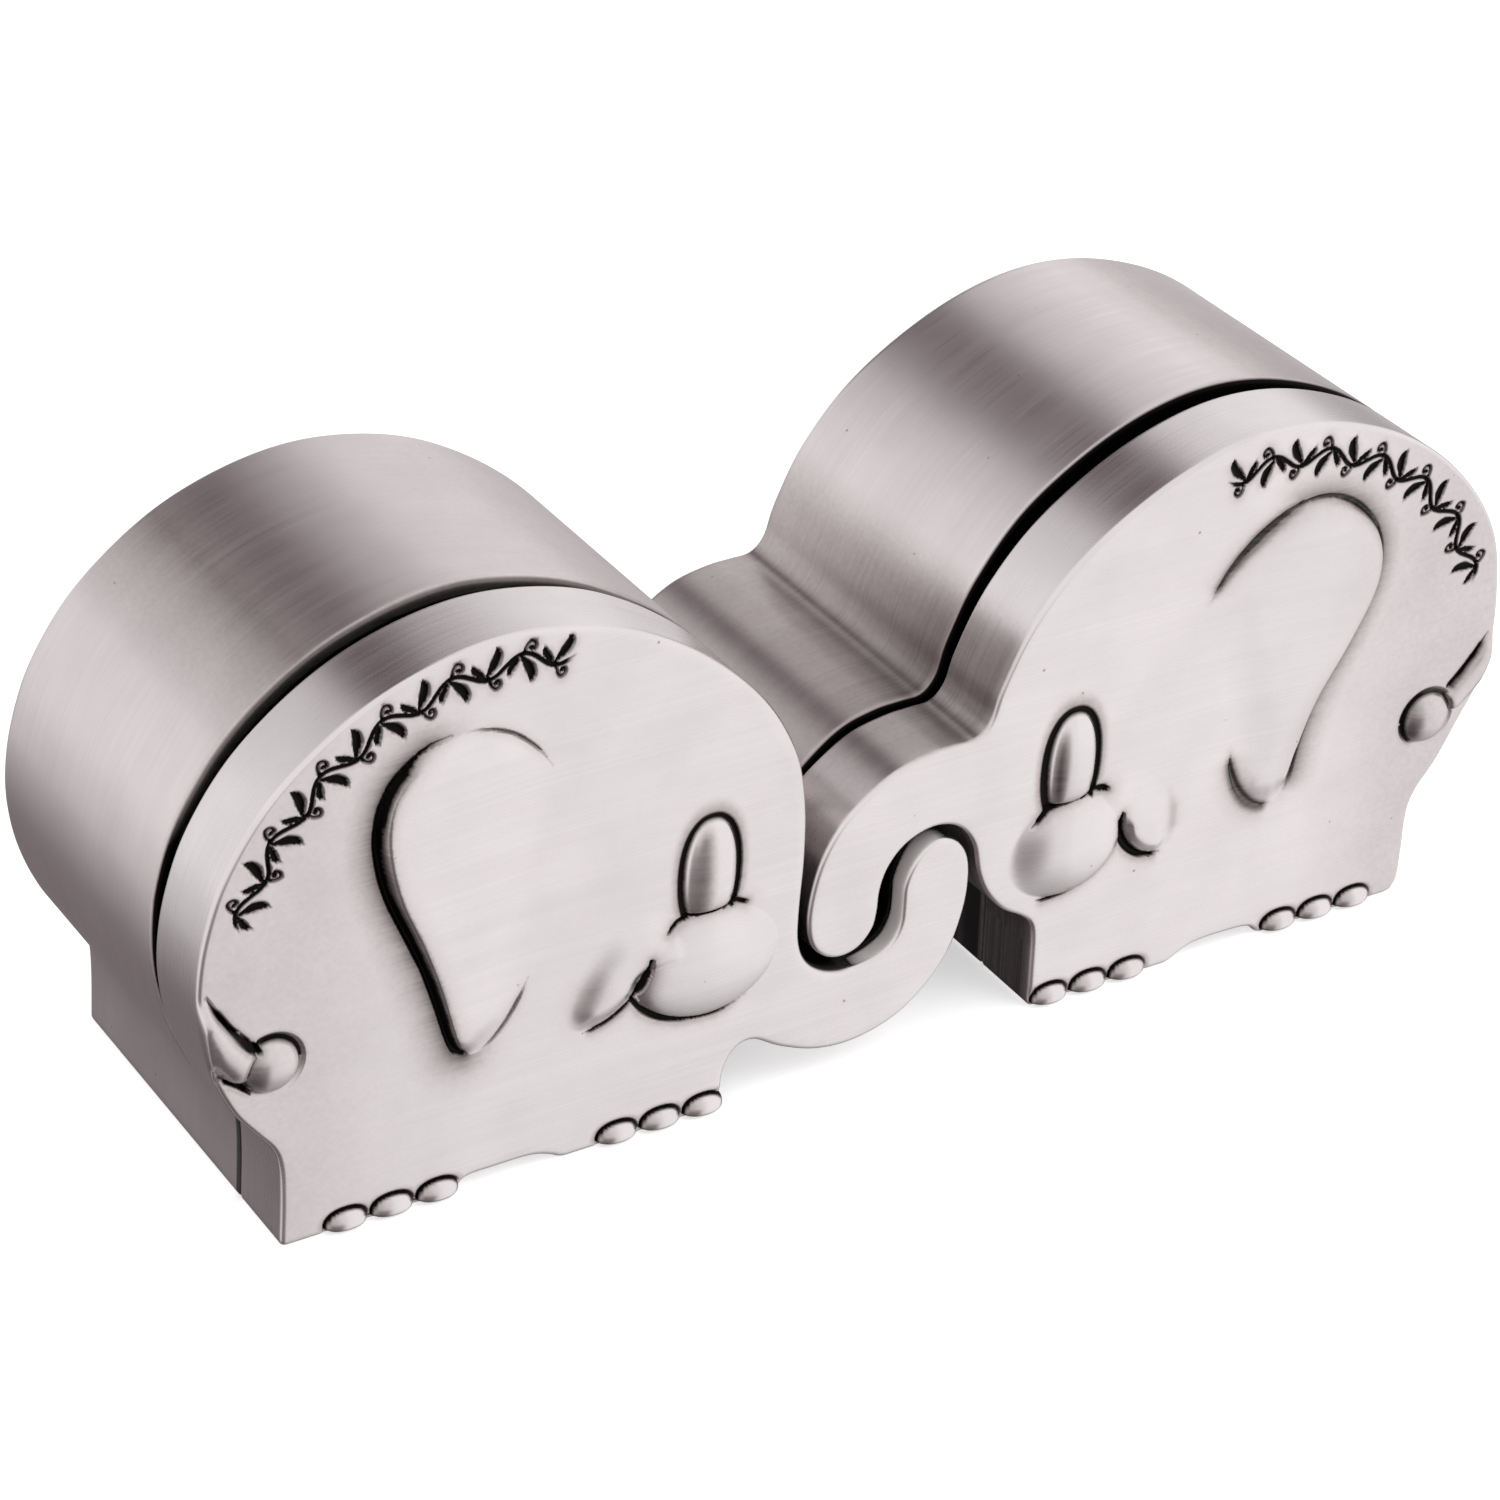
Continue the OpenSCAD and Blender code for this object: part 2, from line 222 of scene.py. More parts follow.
# %% Measure an outline
def nearest(points, path, reach=None):
    """Distance of each point to a curve, and the knot number at the nearest place.

    With a reach at each place of the curve, distances count as shares of the reach there.
    """
    places, numbers = path
    reach = np.ones(len(places)) if reach is None else reach
    start, step = places[:-1], np.diff(places, axis=0)
    square = (step ** 2).sum(axis=1) + 1e-12
    best = np.full(len(points), 1e9)
    knot = np.zeros(len(points))
    spans = zip(start, step, square, numbers[:-1], numbers[1:], reach[:-1], reach[1:])
    for s, d, q, n0, n1, r0, r1 in spans:
        t = np.clip(((points - s) @ d) / q, 0, 1)
        away = np.hypot(points[:, 0] - s[0] - t * d[0], points[:, 1] - s[1] - t * d[1])
        away /= r0 + t * (r1 - r0)
        closer = away < best
        best[closer] = away[closer]
        knot[closer] = n0 + t[closer] * (n1 - n0)
    return best, knot

def outward(outline):
    """Unit normals of an anticlockwise outline."""
    run = np.roll(outline, -1, axis=0) - np.roll(outline, 1, axis=0)
    run /= np.hypot(*run.T)[:, None]
    return np.column_stack([run[:, 1], -run[:, 0]])

def gap_to(points, outline):
    """Distance of each point to a closed outline."""
    away, _ = nearest(points, (np.vstack([outline, outline[:1]]), np.arange(len(outline) + 1)))
    return away

def lengths(outline):
    """Distance along a closed outline at each point, and once more at its end."""
    step = np.roll(outline, -1, axis=0) - outline
    return np.append(0, np.cumsum(np.hypot(*step.T)))

def circle(x, z, radius, count=144):
    """Points of a circle, anticlockwise."""
    angle = np.linspace(0, 2 * math.pi, count, endpoint=False)
    return np.column_stack([x + radius * np.cos(angle), z + radius * np.sin(angle)])

def inside(points, outline):
    """Which points lie inside a closed outline, by counting the edges to their right."""
    a, b = outline, np.roll(outline, -1, axis=0)
    found = np.zeros(len(points), bool)
    for (ax, az), (bx, bz) in zip(a, b):
        if az != bz:
            level_with = (az > points[:, 1]) != (bz > points[:, 1])
            found ^= level_with & (points[:, 0] < ax + (points[:, 1] - az) * (bx - ax) / (bz - az))
    return found

for kind in SIDES:
    print(kind, "outline is", round(lengths(outlines[kind])[-1], 1), "mm round")

# %% [markdown]
# Rounded edges need the same outline a little further in. Each point moves along its own normal,
# which is the running direction turned by a quarter. In a tight corner the moved points would cross
# over. They can be told by lying too close to the outline or by running backwards, and are spread
# over the gap instead, on a very slight bulge so that no three of them lie on one straight line.

# %% Inset an outline
SPREAD_BULGE = 0.02

def inset(outline, amount):
    """The outline moved inwards, with as many points."""
    moved = outline - amount * outward(outline)
    if amount <= 0:
        return moved
    bad = gap_to(moved, outline) < 0.98 * amount
    for _ in range(6):
        step, was = np.roll(moved, -1, axis=0) - moved, np.roll(outline, -1, axis=0) - outline
        turned = (step * was).sum(axis=1) < 0.02 * (was ** 2).sum(axis=1)
        if not (turned | bad).any():
            break
        bad |= turned | np.roll(turned, 1)
        bad |= np.roll(bad, 1) | np.roll(bad, -1)
        numbers, good = np.arange(len(outline)), np.flatnonzero(~bad)
        bulge = SPREAD_BULGE * np.sin(math.pi * (np.interp(numbers, good, np.arange(len(good))) % 1))
        moved = np.column_stack([np.interp(numbers, good, moved[good, axis]) for axis in (0, 1)])
        moved += bulge[:, None] * outward(outline)
        bad = np.zeros(len(outline), bool)
    return moved

for kind in SIDES:
    smaller = lengths(inset(outlines[kind], 0.45))[-1]
    print(kind, "outline 0.45 mm further in is", round(smaller, 1), "mm round")

# %% [markdown]
# ## A casting, ring by ring
# Both castings are built like a wall: rings of points, one behind the other, joined by bands of
# faces, with flat or sculpted ends. While the faces are made, each corner also gets its place
# along and across the brush marks, which becomes the UV map "grain". Brush marks follow the
# outline round the walls and run level over the faces, and no projection could do both.
# Each point also carries how dark its patina and painted shade are, in an attribute called "dark".
#
# The ends are filled by a constrained Delaunay triangulation: it joins loose points into well
# shaped triangles, and keeps the rings as edges. That lets the relief have many points along its
# lines and few on the plain metal.

# %% Gather rings, bands and ends into a casting
class Casting:
    """Points, faces, patina with painted shade, and grain map of a casting while it grows."""

    def __init__(self):
        self.points, self.dark, self.faces, self.grain = [], [], [], []
        self.count = 0

    def ring(self, places, y, dark=0.0):
        """Add points in X and Z at height y, and return their numbers."""
        y = np.broadcast_to(y, len(places))
        self.points.append(np.column_stack([places[:, 0], y, places[:, 1]]))
        self.dark.append(np.broadcast_to(dark, len(places)))
        self.count += len(places)
        return np.arange(self.count - len(places), self.count)

    def band(self, a, b, along, across_a, across_b):
        """Join two rings. Seen from outside, b lies behind a and the rings run anticlockwise."""
        a_next, b_next = np.roll(a, -1), np.roll(b, -1)
        self.faces += np.column_stack([a, b, b_next, a_next]).tolist()
        start, end = along[:-1], along[1:]
        ends = [(start, across_a), (start, across_b), (end, across_b), (end, across_a)]
        corners = [np.column_stack([s, np.broadcast_to(v, len(s))]) for s, v in ends]
        self.grain.append(np.stack(corners, axis=1).reshape(-1, 2))

    def end(self, rings, facing, places=None, y=None, dark=None):
        """Fill the first ring, around holes given by the other rings, with extra points."""
        known = np.vstack(self.points)
        on_rings = np.concatenate(rings)
        flat = known[on_rings][:, [0, 2]]
        edges, start = [], 0
        for ring in rings:
            order = np.arange(start, start + len(ring))
            edges += np.column_stack([order, np.roll(order, -1)]).tolist()
            start += len(ring)
        if places is not None:
            numbers = np.concatenate([on_rings, self.ring(places, y, dark)])
            flat = np.vstack([flat, places])
        else:
            numbers = on_rings
        found = delaunay_2d_cdt([Vector(p) for p in flat], edges, [], 0, 1e-6, True)
        source = np.array([o[0] for o in found[3]])
        triangles = source[np.array(found[2])]
        middle = flat[triangles].mean(axis=1)
        keep = inside(middle, known[rings[0]][:, [0, 2]])
        for hole in rings[1:]:
            keep &= ~inside(middle, known[hole][:, [0, 2]])
        triangles = triangles[keep]
        p, q, r = (flat[triangles[:, i]] for i in range(3))
        left = (q - p)[:, 0] * (r - p)[:, 1] - (q - p)[:, 1] * (r - p)[:, 0] > 0
        wrong = left != (facing < 0)
        triangles[wrong] = triangles[wrong][:, ::-1]
        self.faces += numbers[triangles].tolist()
        self.grain.append(flat[triangles].reshape(-1, 2))

    def mesh(self, name, crease=50):
        """Make the mesh, with its grain map and its patina and painted shade."""
        mesh = bpy.data.meshes.new(name)
        mesh.from_pydata((np.vstack(self.points) * MM).tolist(), [], self.faces)
        layer = mesh.uv_layers.new(name="grain")
        layer.data.foreach_set("uv", (np.vstack(self.grain) * MM).ravel())
        dark = mesh.attributes.new("dark", "FLOAT", "POINT")
        dark.data.foreach_set("value", np.concatenate(self.dark).astype(np.float32))
        mesh.shade_smooth()
        mesh.set_sharp_from_angle(angle=math.radians(crease))
        mesh.validate()
        return mesh

def piece(name, mesh):
    """Put a mesh into the scene as an object of that name, and print what it is."""
    obj = in_scene(name, mesh)
    used = np.zeros(len(mesh.edges), int)
    edge_of = np.empty(len(mesh.loops), int)
    mesh.loops.foreach_get("edge_index", edge_of)
    np.add.at(used, edge_of, 1)
    print(f"{name}: {len(mesh.polygons)} faces, {int((used != 2).sum())} open edges")
    return obj

# %% [markdown]
# ## The two boxes
# A box is the outline drawn straight back, hollowed by a round cavity. Its front rim isn't quite
# level: from the height of the knees up it steps back, which leaves a narrow gap behind the lid
# where a fingernail gets in. The edges are rounded in small steps, because a sharp edge never
# catches the bright line of light that makes a casting look solid. A narrow flat edge beside each
# round keeps the shading of the flat face next to it flat.

# %% Set the sizes of a box
CAVITY_X, CAVITY_Z, CAVITY_R = 30.2, 20.5, 17.0
MAGNET_OUT, MAGNET_Z, POCKET_R, POCKET_DEPTH = 12.8, 4.6, 2.55, 2.1
NAIL_GAP = ([14, 18, 22, 25, 28, 33, 37, 43], [0, 0.12, 0.5, 0.85, 0.95, 1.05, 1.3, 1.5])
FRONT_ROUND, BACK_ROUND, POCKET_ROUND = 0.45, 0.6, 0.12
FLAT_EDGE, MOUTH_ROUND = 0.12, 0.2
FLOOR_Y = Y_BACK - 2.0

def smooth(value, low, high):
    """0 below low, 1 above high, and an S-shaped slope between them."""
    t = np.clip((value - low) / (high - low), 0, 1)
    return t * t * (3 - 2 * t)

def quarter(steps):
    """Angles of a quarter turn, both ends included."""
    return np.linspace(0, math.pi / 2, steps)

def rim_y(kind, places):
    """Where the front rim of a box lies. The tooth box has a narrower gap on its forehead."""
    gap = np.interp(places[:, 1], *NAIL_GAP)
    if kind == "tooth":
        gap = gap * np.interp(places[:, 0] * SIDES[kind], [19, 30], [0.55, 1])
    return Y_SPLIT + gap

print("the cavities are", round(FLOOR_Y - Y_SPLIT, 1), "mm deep")

# %% [markdown]
# Patina is black where no brush reaches, and painted shade adds to it there: in the gap, in the seam
# of the feet and where the two elephants come close. On the side of the upturned trunk's tip even the
# patina is missing. A negative value there marks dull cast skin. Along the back, painted shade lies
# in soft bands wherever the wall turns a certain way, in degrees. Each patch is a soft step or a soft
# spot at a place in u and z, where u is the distance from the middle of the pair, so that one rule can
# serve both elephants.

# %% Say where the patina of the walls is
SHADE_BY_TURN = {"tooth": ([-70, -50, -33, -16, -6, 5, 14, 20, 29, 38, 48, 56],
                   [0, 0.16, 0.18, 0.1, 0.04, 0, 0.03, 0.12, 0.45, 0.2, 0.03, 0]),
         "curl": ([0, 8, 12, 18, 24, 30], [0, 0.1, 0.2, 0.2, 0.08, 0])}

def in_gap(places):
    """Patina and painted shade in the fingernail gap and in the seam of the feet, where no brush
    reaches.
    """
    return np.interp(places[:, 1], [0, 9, 11, 15, 19], [0.9, 0.9, 0.1, 0.1, 1])

def facing(kind, places):
    """Places on an outline as u and z, and their normals, as if the elephant faced left."""
    mirror = np.array([SIDES[kind], 1])
    return *(places * mirror).T, *(outward(places) * mirror).T

def hollow(kind, places):
    """Patina and painted shade on walls that lie close to the other elephant, too close for the brush.
    """
    u, z, nu, nz = facing(kind, places)
    inner = np.clip((3 - u) * nu + (13 - z) * nz, 0, 1) * (u < 13.5)
    top = 20 - z if kind == "curl" else np.where(u < 2.5, (16.5 - z) / 1.5, (16 - z) / 3.5)
    inner = (0.9 if kind == "tooth" else 0.84) * inner * np.clip(top, 0, 1)
    brow = np.exp(-((u - 8) / 4.5) ** 2 - (np.clip(24 - z, 0, None) / 4) ** 2)
    brow = 0.46 * brow * smooth(z, 33.5, 28.5) + 0.28 * np.exp(-((u - 1) ** 2 + (z - 24) ** 2) / 35)
    trunk = 0.3 * np.clip((22 - z) / 7, 0, 1) * ((u < 0) & (nu < -0.4))
    return np.maximum(inner, np.maximum(brow, trunk) * (kind == "curl"))

def tip_side(kind, places):
    """The side of the upturned trunk tip, where the dull cast skin still shows."""
    u, z, nu, _ = facing(kind, places)
    left = smooth(nu, -0.6, 0.4) * smooth(u, 3.9, 2.2)
    return (kind == "tooth") * left * smooth(z, 5.2, 9) * smooth(z, 18.2, 16.9)

def shade_by_turn(kind, places):
    """Painted shade along the back of a box, by which way the wall turns."""
    _, _, nu, nz = facing(kind, places)
    return np.interp(np.degrees(np.arctan2(nu, nz)), *SHADE_BY_TURN[kind])

for kind in SIDES:
    print(kind, "wall is darkest at", round(float(hollow(kind, outlines[kind]).max()), 2))

# %% [markdown]
# Now walls can be swept: a list of stations says how far in, how far back and how dark each ring is.
# The same sweep makes the outer wall, the cavity and the pockets for the magnets.

# %% Sweep walls, pockets and the cavity
def wall(casting, outline, stations):
    """Sweep an outline along (inset, y, patina) stations, and return the first and last ring."""
    along, across, rings = lengths(outline), 0.0, []
    for number, (amount, y, dark) in enumerate(stations):
        ring = casting.ring(inset(outline, amount), y, dark)
        if number:
            step = float(np.mean(np.hypot(amount - stations[number - 1][0],
                                          y - stations[number - 1][1])))
            casting.band(rings[-1], ring, along, across, across + step)
            across += step
        rings.append(ring)
    return rings[0], rings[-1]

def pocket(casting, x, opening_y, floor_y):
    """Round pocket for a magnet, and its mouth ring."""
    toward = 1 if opening_y > floor_y else -1
    stations = [(-POCKET_ROUND, opening_y, 0.2), (0, opening_y - POCKET_ROUND * toward, 0.2),
                (0, floor_y, 0.5)]
    rim = circle(x, MAGNET_Z, POCKET_R, 48)
    if toward < 0:
        bottom, mouth = wall(casting, rim, stations[::-1])
    else:
        mouth, bottom = wall(casting, rim, stations)
    casting.end([bottom], toward)
    return mouth

def pockets(casting, kind, floor_y):
    """The two pockets of a box or a lid, one in each leg, and their mouth rings."""
    x = SIDES[kind] * CAVITY_X
    return [pocket(casting, x + side * MAGNET_OUT, Y_SPLIT, floor_y) for side in (-1, 1)]

def cavity(casting, kind):
    """Round cavity with a small round at its mouth, and its mouth ring."""
    x = SIDES[kind] * CAVITY_X
    mouth_y = rim_y(kind, circle(x, CAVITY_Z, CAVITY_R + MOUTH_ROUND))
    floor, mouth = wall(casting, circle(x, CAVITY_Z, CAVITY_R), [
        (0, FLOOR_Y, 0.2), (0, mouth_y + MOUTH_ROUND + 0.1, 0.2), (0, mouth_y + MOUTH_ROUND, 0.2),
        (-MOUTH_ROUND, mouth_y, 0.4)])
    casting.end([floor], -1)
    return mouth

print("each pocket is", POCKET_DEPTH, "mm deep")

# %% [markdown]
# Along part of the tooth box's rim the gap's painted shade is only brown at the outer edge, where
# light still gets in. Two rows of extra points, so far in and so dark, lead from the brown to black.

# %% Build the boxes
GAP_SHADE_ROWS = ((0.82, 0.75), (1.08, 1.0))

def box_stations(kind, outline, lit_mouth):
    """Stations of a box's wall: flat edge, front round, plain wall, back round and flat edge."""
    # Painted shade: in the gap and the seam of the feet, near the other elephant, and in bands by the
    # wall's turn.
    rim, shade, deep = rim_y(kind, outline), in_gap(outline), hollow(kind, outline)
    band = shade_by_turn(kind, outline)
    lasting = np.interp(outline[:, 1], [8.5, 10, 38], [0.9, 0.1, 0.15])
    lasting *= np.interp(outline[:, 0] * SIDES[kind], [22, 30], [0, 1])
    face = shade * (1 - 0.3 * lit_mouth)
    far = np.maximum(0.6 * deep, band)
    stations = [(FRONT_ROUND + FLAT_EDGE, rim, face)]
    for a in quarter(7):
        bright = smooth(a, 0.7, 1.35)
        round_shade = face + (shade * lasting - face) * bright
        stations.append((FRONT_ROUND * (1 - math.sin(a)), rim + FRONT_ROUND * (1 - math.cos(a)),
                         np.maximum(round_shade, np.maximum(deep, band * bright))))
    stations += [(0.0, rim + FRONT_ROUND + 0.25, np.maximum(1.15 * deep, band)),
                 (0.0, rim + FRONT_ROUND + 4, np.maximum(deep, band)),
                 (0.0, np.full(len(rim), Y_BACK - BACK_ROUND - 0.1), far)]
    for a in quarter(6):
        stations.append((BACK_ROUND * (1 - math.cos(a)), Y_BACK - BACK_ROUND * (1 - math.sin(a)),
                         far * math.cos(a)))
    stations.append((BACK_ROUND + FLAT_EDGE, Y_BACK, 0.0))
    return stations

def box_casting(kind):
    """A box: its wall and back, its cavity and pockets, and the rim between them."""
    side, outline = SIDES[kind], outlines[kind]
    casting = Casting()
    lit_mouth = (kind == "tooth") * smooth(outline[:, 1], 27, 33) * smooth(outline[:, 0] * side, 14, 18)
    first, last = wall(casting, outline, box_stations(kind, outline, lit_mouth))
    casting.end([last], 1)
    rings = [first, cavity(casting, kind)] + pockets(casting, kind, Y_SPLIT + POCKET_DEPTH)
    strip = np.vstack([inset(outline, amount)[lit_mouth > 0.1] for amount, _ in GAP_SHADE_ROWS])
    if len(strip):
        tones = np.repeat([tone for _, tone in GAP_SHADE_ROWS], len(strip) // len(GAP_SHADE_ROWS))
        casting.end(rings, -1, strip, rim_y(kind, strip), tones)
    else:
        casting.end(rings, -1)
    return casting

boxes = {}
for kind in SIDES:
    boxes[kind] = piece(kind + "_box_casting", box_casting(kind).mesh(kind + "_box"))

# %% [markdown]
# ## Tools for relief
# The relief on a lid is low, with no undercuts, so it can be written as one number at each point
# of the face: how far the metal stands proud there. Such a height field is easy to build up from
# simple shapes. Everything is written in u and z again, and serves both lids by mirroring.

# %% Read values along a curve
def by_knot(values, knot):
    """Values anywhere on a curve, from one value for each knot."""
    return np.interp(knot, np.arange(len(values)), values)

print("half way between knots of 0.1 and 0.3:", by_knot([0.1, 0.3], 0.5))

# %% [markdown]
# ## Engraved lines
# Most of what the eye reads as drawing is a dark line: a groove that kept its black patina when
# the raised metal was brushed bright. A line is a curve with a half width at each knot. It swells
# and tapers like a pen stroke, cuts a shallow groove and darkens it, with a faint smoky border
# where the brush only just reached.

# %% Describe engraved lines
SMOKE_REACH = 4

class Line:
    """A stroke of the engraver. The wide smoke is a strength and the distance that it fades in."""

    def __init__(self, knots, widths, depth=0.25, tone=1.0, smoke=0.35, wide=(0, 1)):
        self.path = curve(knots, steps=5)
        self.widths, self.depth, self.tone = widths, depth, tone
        self.smoke, self.wide = smoke, wide

    def cut(self, points, proud, dark, inner):
        """Cut this line into the height and patina of the points. Wide smoke stays off the ear."""
        low, high = self.path[0].min(axis=0) - SMOKE_REACH, self.path[0].max(axis=0) + SMOKE_REACH
        near = ((points > low) & (points < high)).all(axis=1)
        away, knot = nearest(points[near], self.path)
        half = np.maximum(by_knot(self.widths, knot), 0.02)
        strength = np.clip(half / 0.12, 0, 1)
        proud[near] -= strength * self.depth * np.clip(1 - (away / half / 1.15) ** 2, 0, 1)
        line = self.tone * (1 - smooth(away, 0.72 * half, half + 0.07))
        beyond = np.clip(away - half, 0, None)
        fade = 0.6 * np.exp(-(beyond / 0.35) ** 2) + 0.4 * np.exp(-beyond / 0.8)
        strong, reach = self.wide
        wide = strong * np.exp(-beyond / reach) * ~inner[near]
        halo = np.maximum(self.smoke * self.tone * fade, wide)
        dark[near] = np.maximum(dark[near], strength * np.maximum(line, halo))

# %% [markdown]
# The two elephants are sisters, not twins: the same features sit in slightly different places and
# one lid's lines are heavier. So the lines are listed for each lid, as (u, z) knots in millimetres:
# first those round the ear, then the ones at the eye, the cheek and the tusk, and last the tail's.

# %% List the engraved lines
def tooth_lines():
    """Lines of the tooth lid."""
    return [
        Line([(27.4, 31.9), (28.6, 33.6), (30.4, 35.15), (32.4, 35.95), (34, 36.1)],
             [0.0, 0.1, 0.13, 0.1, 0.0], depth=0.12, tone=0.75, smoke=0.15),
        Line([(34.6, 36.2), (36.5, 35.8), (38.2, 34.6), (39.5, 32.9), (40.05, 30.8), (40.05, 28.6),
              (39.35, 25.5), (37.9, 22), (36.55, 18.8), (35.45, 15.4), (34.75, 13), (34.25, 11.8),
              (33.6, 11.25)],
             [0.03, 0.12, 0.22, 0.27, 0.3, 0.3, 0.3, 0.3, 0.29, 0.29, 0.3, 0.32, 0.2],
             depth=0.3, smoke=0.5, wide=(0.75, 1.1)),
        Line([(32.6, 11.1), (31.7, 11.5), (30.5, 12.8), (29.5, 14.4), (28.8, 15.9)],
             [0.0, 0.1, 0.14, 0.12, 0.0], depth=0.12, tone=0.7, smoke=0.2),
        Line([(18.2, 16.1), (17.5, 16.6), (16.4, 17.0), (14.6, 17.1), (12.9, 17.1), (11.9, 16.7)],
             [0.1, 0.22, 0.2, 0.16, 0.26, 0.14], tone=0.95),
        Line([(19.55, 14.5), (19.7, 13.5), (20.15, 12.4), (20.7, 11.65)],
             [0.16, 0.3, 0.3, 0.2], depth=0.35),
        Line([(20.75, 11.5), (19.9, 10.4), (18.5, 9.35), (16.7, 8.65), (14.6, 8.35), (12.9, 8.5),
              (11.6, 9.0)],
             [0.18, 0.24, 0.3, 0.26, 0.17, 0.08, 0.0]),
        Line([(20.7, 11.6), (21.5, 10.9), (22.6, 10.3), (23.8, 9.95), (24.5, 9.9)],
             [0.14, 0.16, 0.15, 0.12, 0.0]),
        # No groove here: painted shade on the tusk.
        Line([(24.6, 11.3), (24, 13.2), (22.9, 15)], [0.1, 0.12, 0.0], depth=0, tone=0.3, smoke=1.0,
             wide=(0.2, 1.2)),
        Line([(52.2, 21.6), (51.1, 19.6), (50.2, 18.2), (49.4, 17.2), (48.7, 16.6)],
             [0.04, 0.16, 0.24, 0.3, 0.24], depth=0.3),
        Line([(51.9, 15.6), (51, 14.8), (50, 14.05), (49.1, 13.2)], [0.05, 0.13, 0.2, 0.08], depth=0.3)
    ]

def curl_lines():
    """Lines of the curl lid."""
    return [
        Line([(25.6, 30.4), (26.4, 31.7), (27.6, 33.1), (29.3, 34.6), (31.2, 35.8), (32.8, 36.5)],
             [0.0, 0.18, 0.32, 0.38, 0.3, 0.16], depth=0.2, tone=0.85, smoke=0.7),
        Line([(32.8, 36.5), (34.6, 36.6), (36.5, 36.1), (38.3, 34.9), (39.85, 33), (40.65, 30.6),
              (40.3, 27.6), (38.4, 23.5), (36.4, 20), (35.2, 16.4), (34.75, 13.6), (34.1, 12.1)],
             [0.14, 0.15, 0.2, 0.24, 0.24, 0.22, 0.18, 0.16, 0.15, 0.15, 0.13, 0.0],
             depth=0.15, tone=0.85, smoke=0.5, wide=(0.62, 1.0)),
        Line([(28.9, 17.2), (29.1, 15.8), (29.8, 14), (30.8, 12.6), (32, 11.75), (33.2, 11.6)],
             [0.0, 0.14, 0.26, 0.3, 0.22, 0.0], depth=0.2, tone=0.75, smoke=1.0),
        Line([(11.6, 15.8), (12.4, 16.5), (13.3, 17.1), (14.8, 17.3), (16.4, 17.5), (17.6, 17.35),
              (18.1, 17.1)],
             [0.06, 0.18, 0.24, 0.12, 0.16, 0.3, 0.16]),
        Line([(19.45, 14.9), (19.55, 13.6), (19.95, 12.3), (20.75, 11.2), (21.7, 10.55), (22.7, 10.3),
              (23.2, 10.35)],
             [0.1, 0.3, 0.38, 0.34, 0.26, 0.18, 0.04], depth=0.4),
        # No groove here: painted shade along the tusk's right edge.
        Line([(23.8, 15.4), (24.2, 14), (24.3, 12.5), (24, 11.2)], [0, 0.06, 0.07, 0], depth=0,
             tone=0.45, smoke=1.0),
        Line([(19.6, 13.2), (19.25, 12.2), (18.5, 11.1), (17.4, 10.2), (16, 9.55), (14.6, 9.25),
              (13.2, 9.2), (12.6, 9.3)],
             [0.16, 0.12, 0.1, 0.1, 0.11, 0.12, 0.12, 0.02]),
        Line([(52.1, 20.9), (51, 19.3), (50, 18.1), (49.2, 17.3)],
             [0.05, 0.22, 0.24, 0.26], depth=0.3)
    ]

engraving = {"tooth": tooth_lines(), "curl": curl_lines()}
print({kind: len(lines) for kind, lines in engraving.items()}, "engraved lines")

# %% [markdown]
# ## The band of ornament
# Above each ear the lid carries a band of dark engraving that follows the round of the back. It is
# filled with a plain running vine, a border that has been used on pewter and silver for centuries.
# It follows a rule, so it is drawn by one: a wavy stem along an arc, and at each crest two leaves
# and a curled tendril that ends in a berry, on alternating sides. Their knots are given as a share of
# the band's length and a distance from its middle.

# %% Draw the vine
VINE_FROM, VINE_TO, VINE_R, VINE_WAVES, VINE_SWING = 17.5, 102.5, 20.4, 6, 0.62
VINE_CENTRE = (30.4, 19.8)
STEM_DEPTH, LEAF_DEPTH, VINE_SMOKE = 0.16, 0.2, 0.2
SPRIGS = (
    ("leaf", LEAF_DEPTH, [0.08, 0.22, 0.4, 0.33, 0.04],
     [(-0.006, 0.45), (0.004, 0.05), (0.016, -0.45), (0.024, -1.05), (0.023, -1.65)]),
    ("small leaf", LEAF_DEPTH, [0.06, 0.2, 0.27, 0.03],
     [(-0.008, 0.5), (-0.018, 0.05), (-0.030, -0.35), (-0.036, -0.9)]),
    ("tendril with a berry", STEM_DEPTH, [0.12, 0.11, 0.12, 0.11, 0.12, 0.2],
     [(0.000, 0.6), (0.006, 1.15), (0.017, 1.45), (0.027, 1.2), (0.024, 0.85), (0.017, 0.95)])
)

def on_arc(t, out):
    """Place at t along the band, 0 to 1, and so far out from its middle."""
    angle = math.radians(VINE_FROM + (VINE_TO - VINE_FROM) * t)
    u, z = VINE_CENTRE
    return (u + (VINE_R + out) * math.cos(angle), z + (VINE_R + out) * math.sin(angle))

def vine():
    """Strokes of the stem, and of the sprigs that turn to alternate sides of it."""
    steps = np.linspace(0, 1, VINE_WAVES * 8 + 1)
    stem = [on_arc(t, VINE_SWING * math.sin(2 * math.pi * VINE_WAVES * t)) for t in steps]
    widths = [0.05] + [0.15] * (len(stem) - 2) + [0.05]
    lines = [Line(stem, widths, depth=STEM_DEPTH, smoke=VINE_SMOKE)]
    for number in range(2 * VINE_WAVES):
        t = (number + 0.5) / (2 * VINE_WAVES)
        way = 1 if number % 2 == 0 else -1
        for _, depth, widths, places in SPRIGS:
            knots = [on_arc(t + a, way * b) for a, b in places]
            lines.append(Line(knots, widths, depth=depth, smoke=VINE_SMOKE))
    return lines

vine_lines = vine()
print(len(vine_lines), "strokes in the vine, among them", [sprig[0] for sprig in SPRIGS])
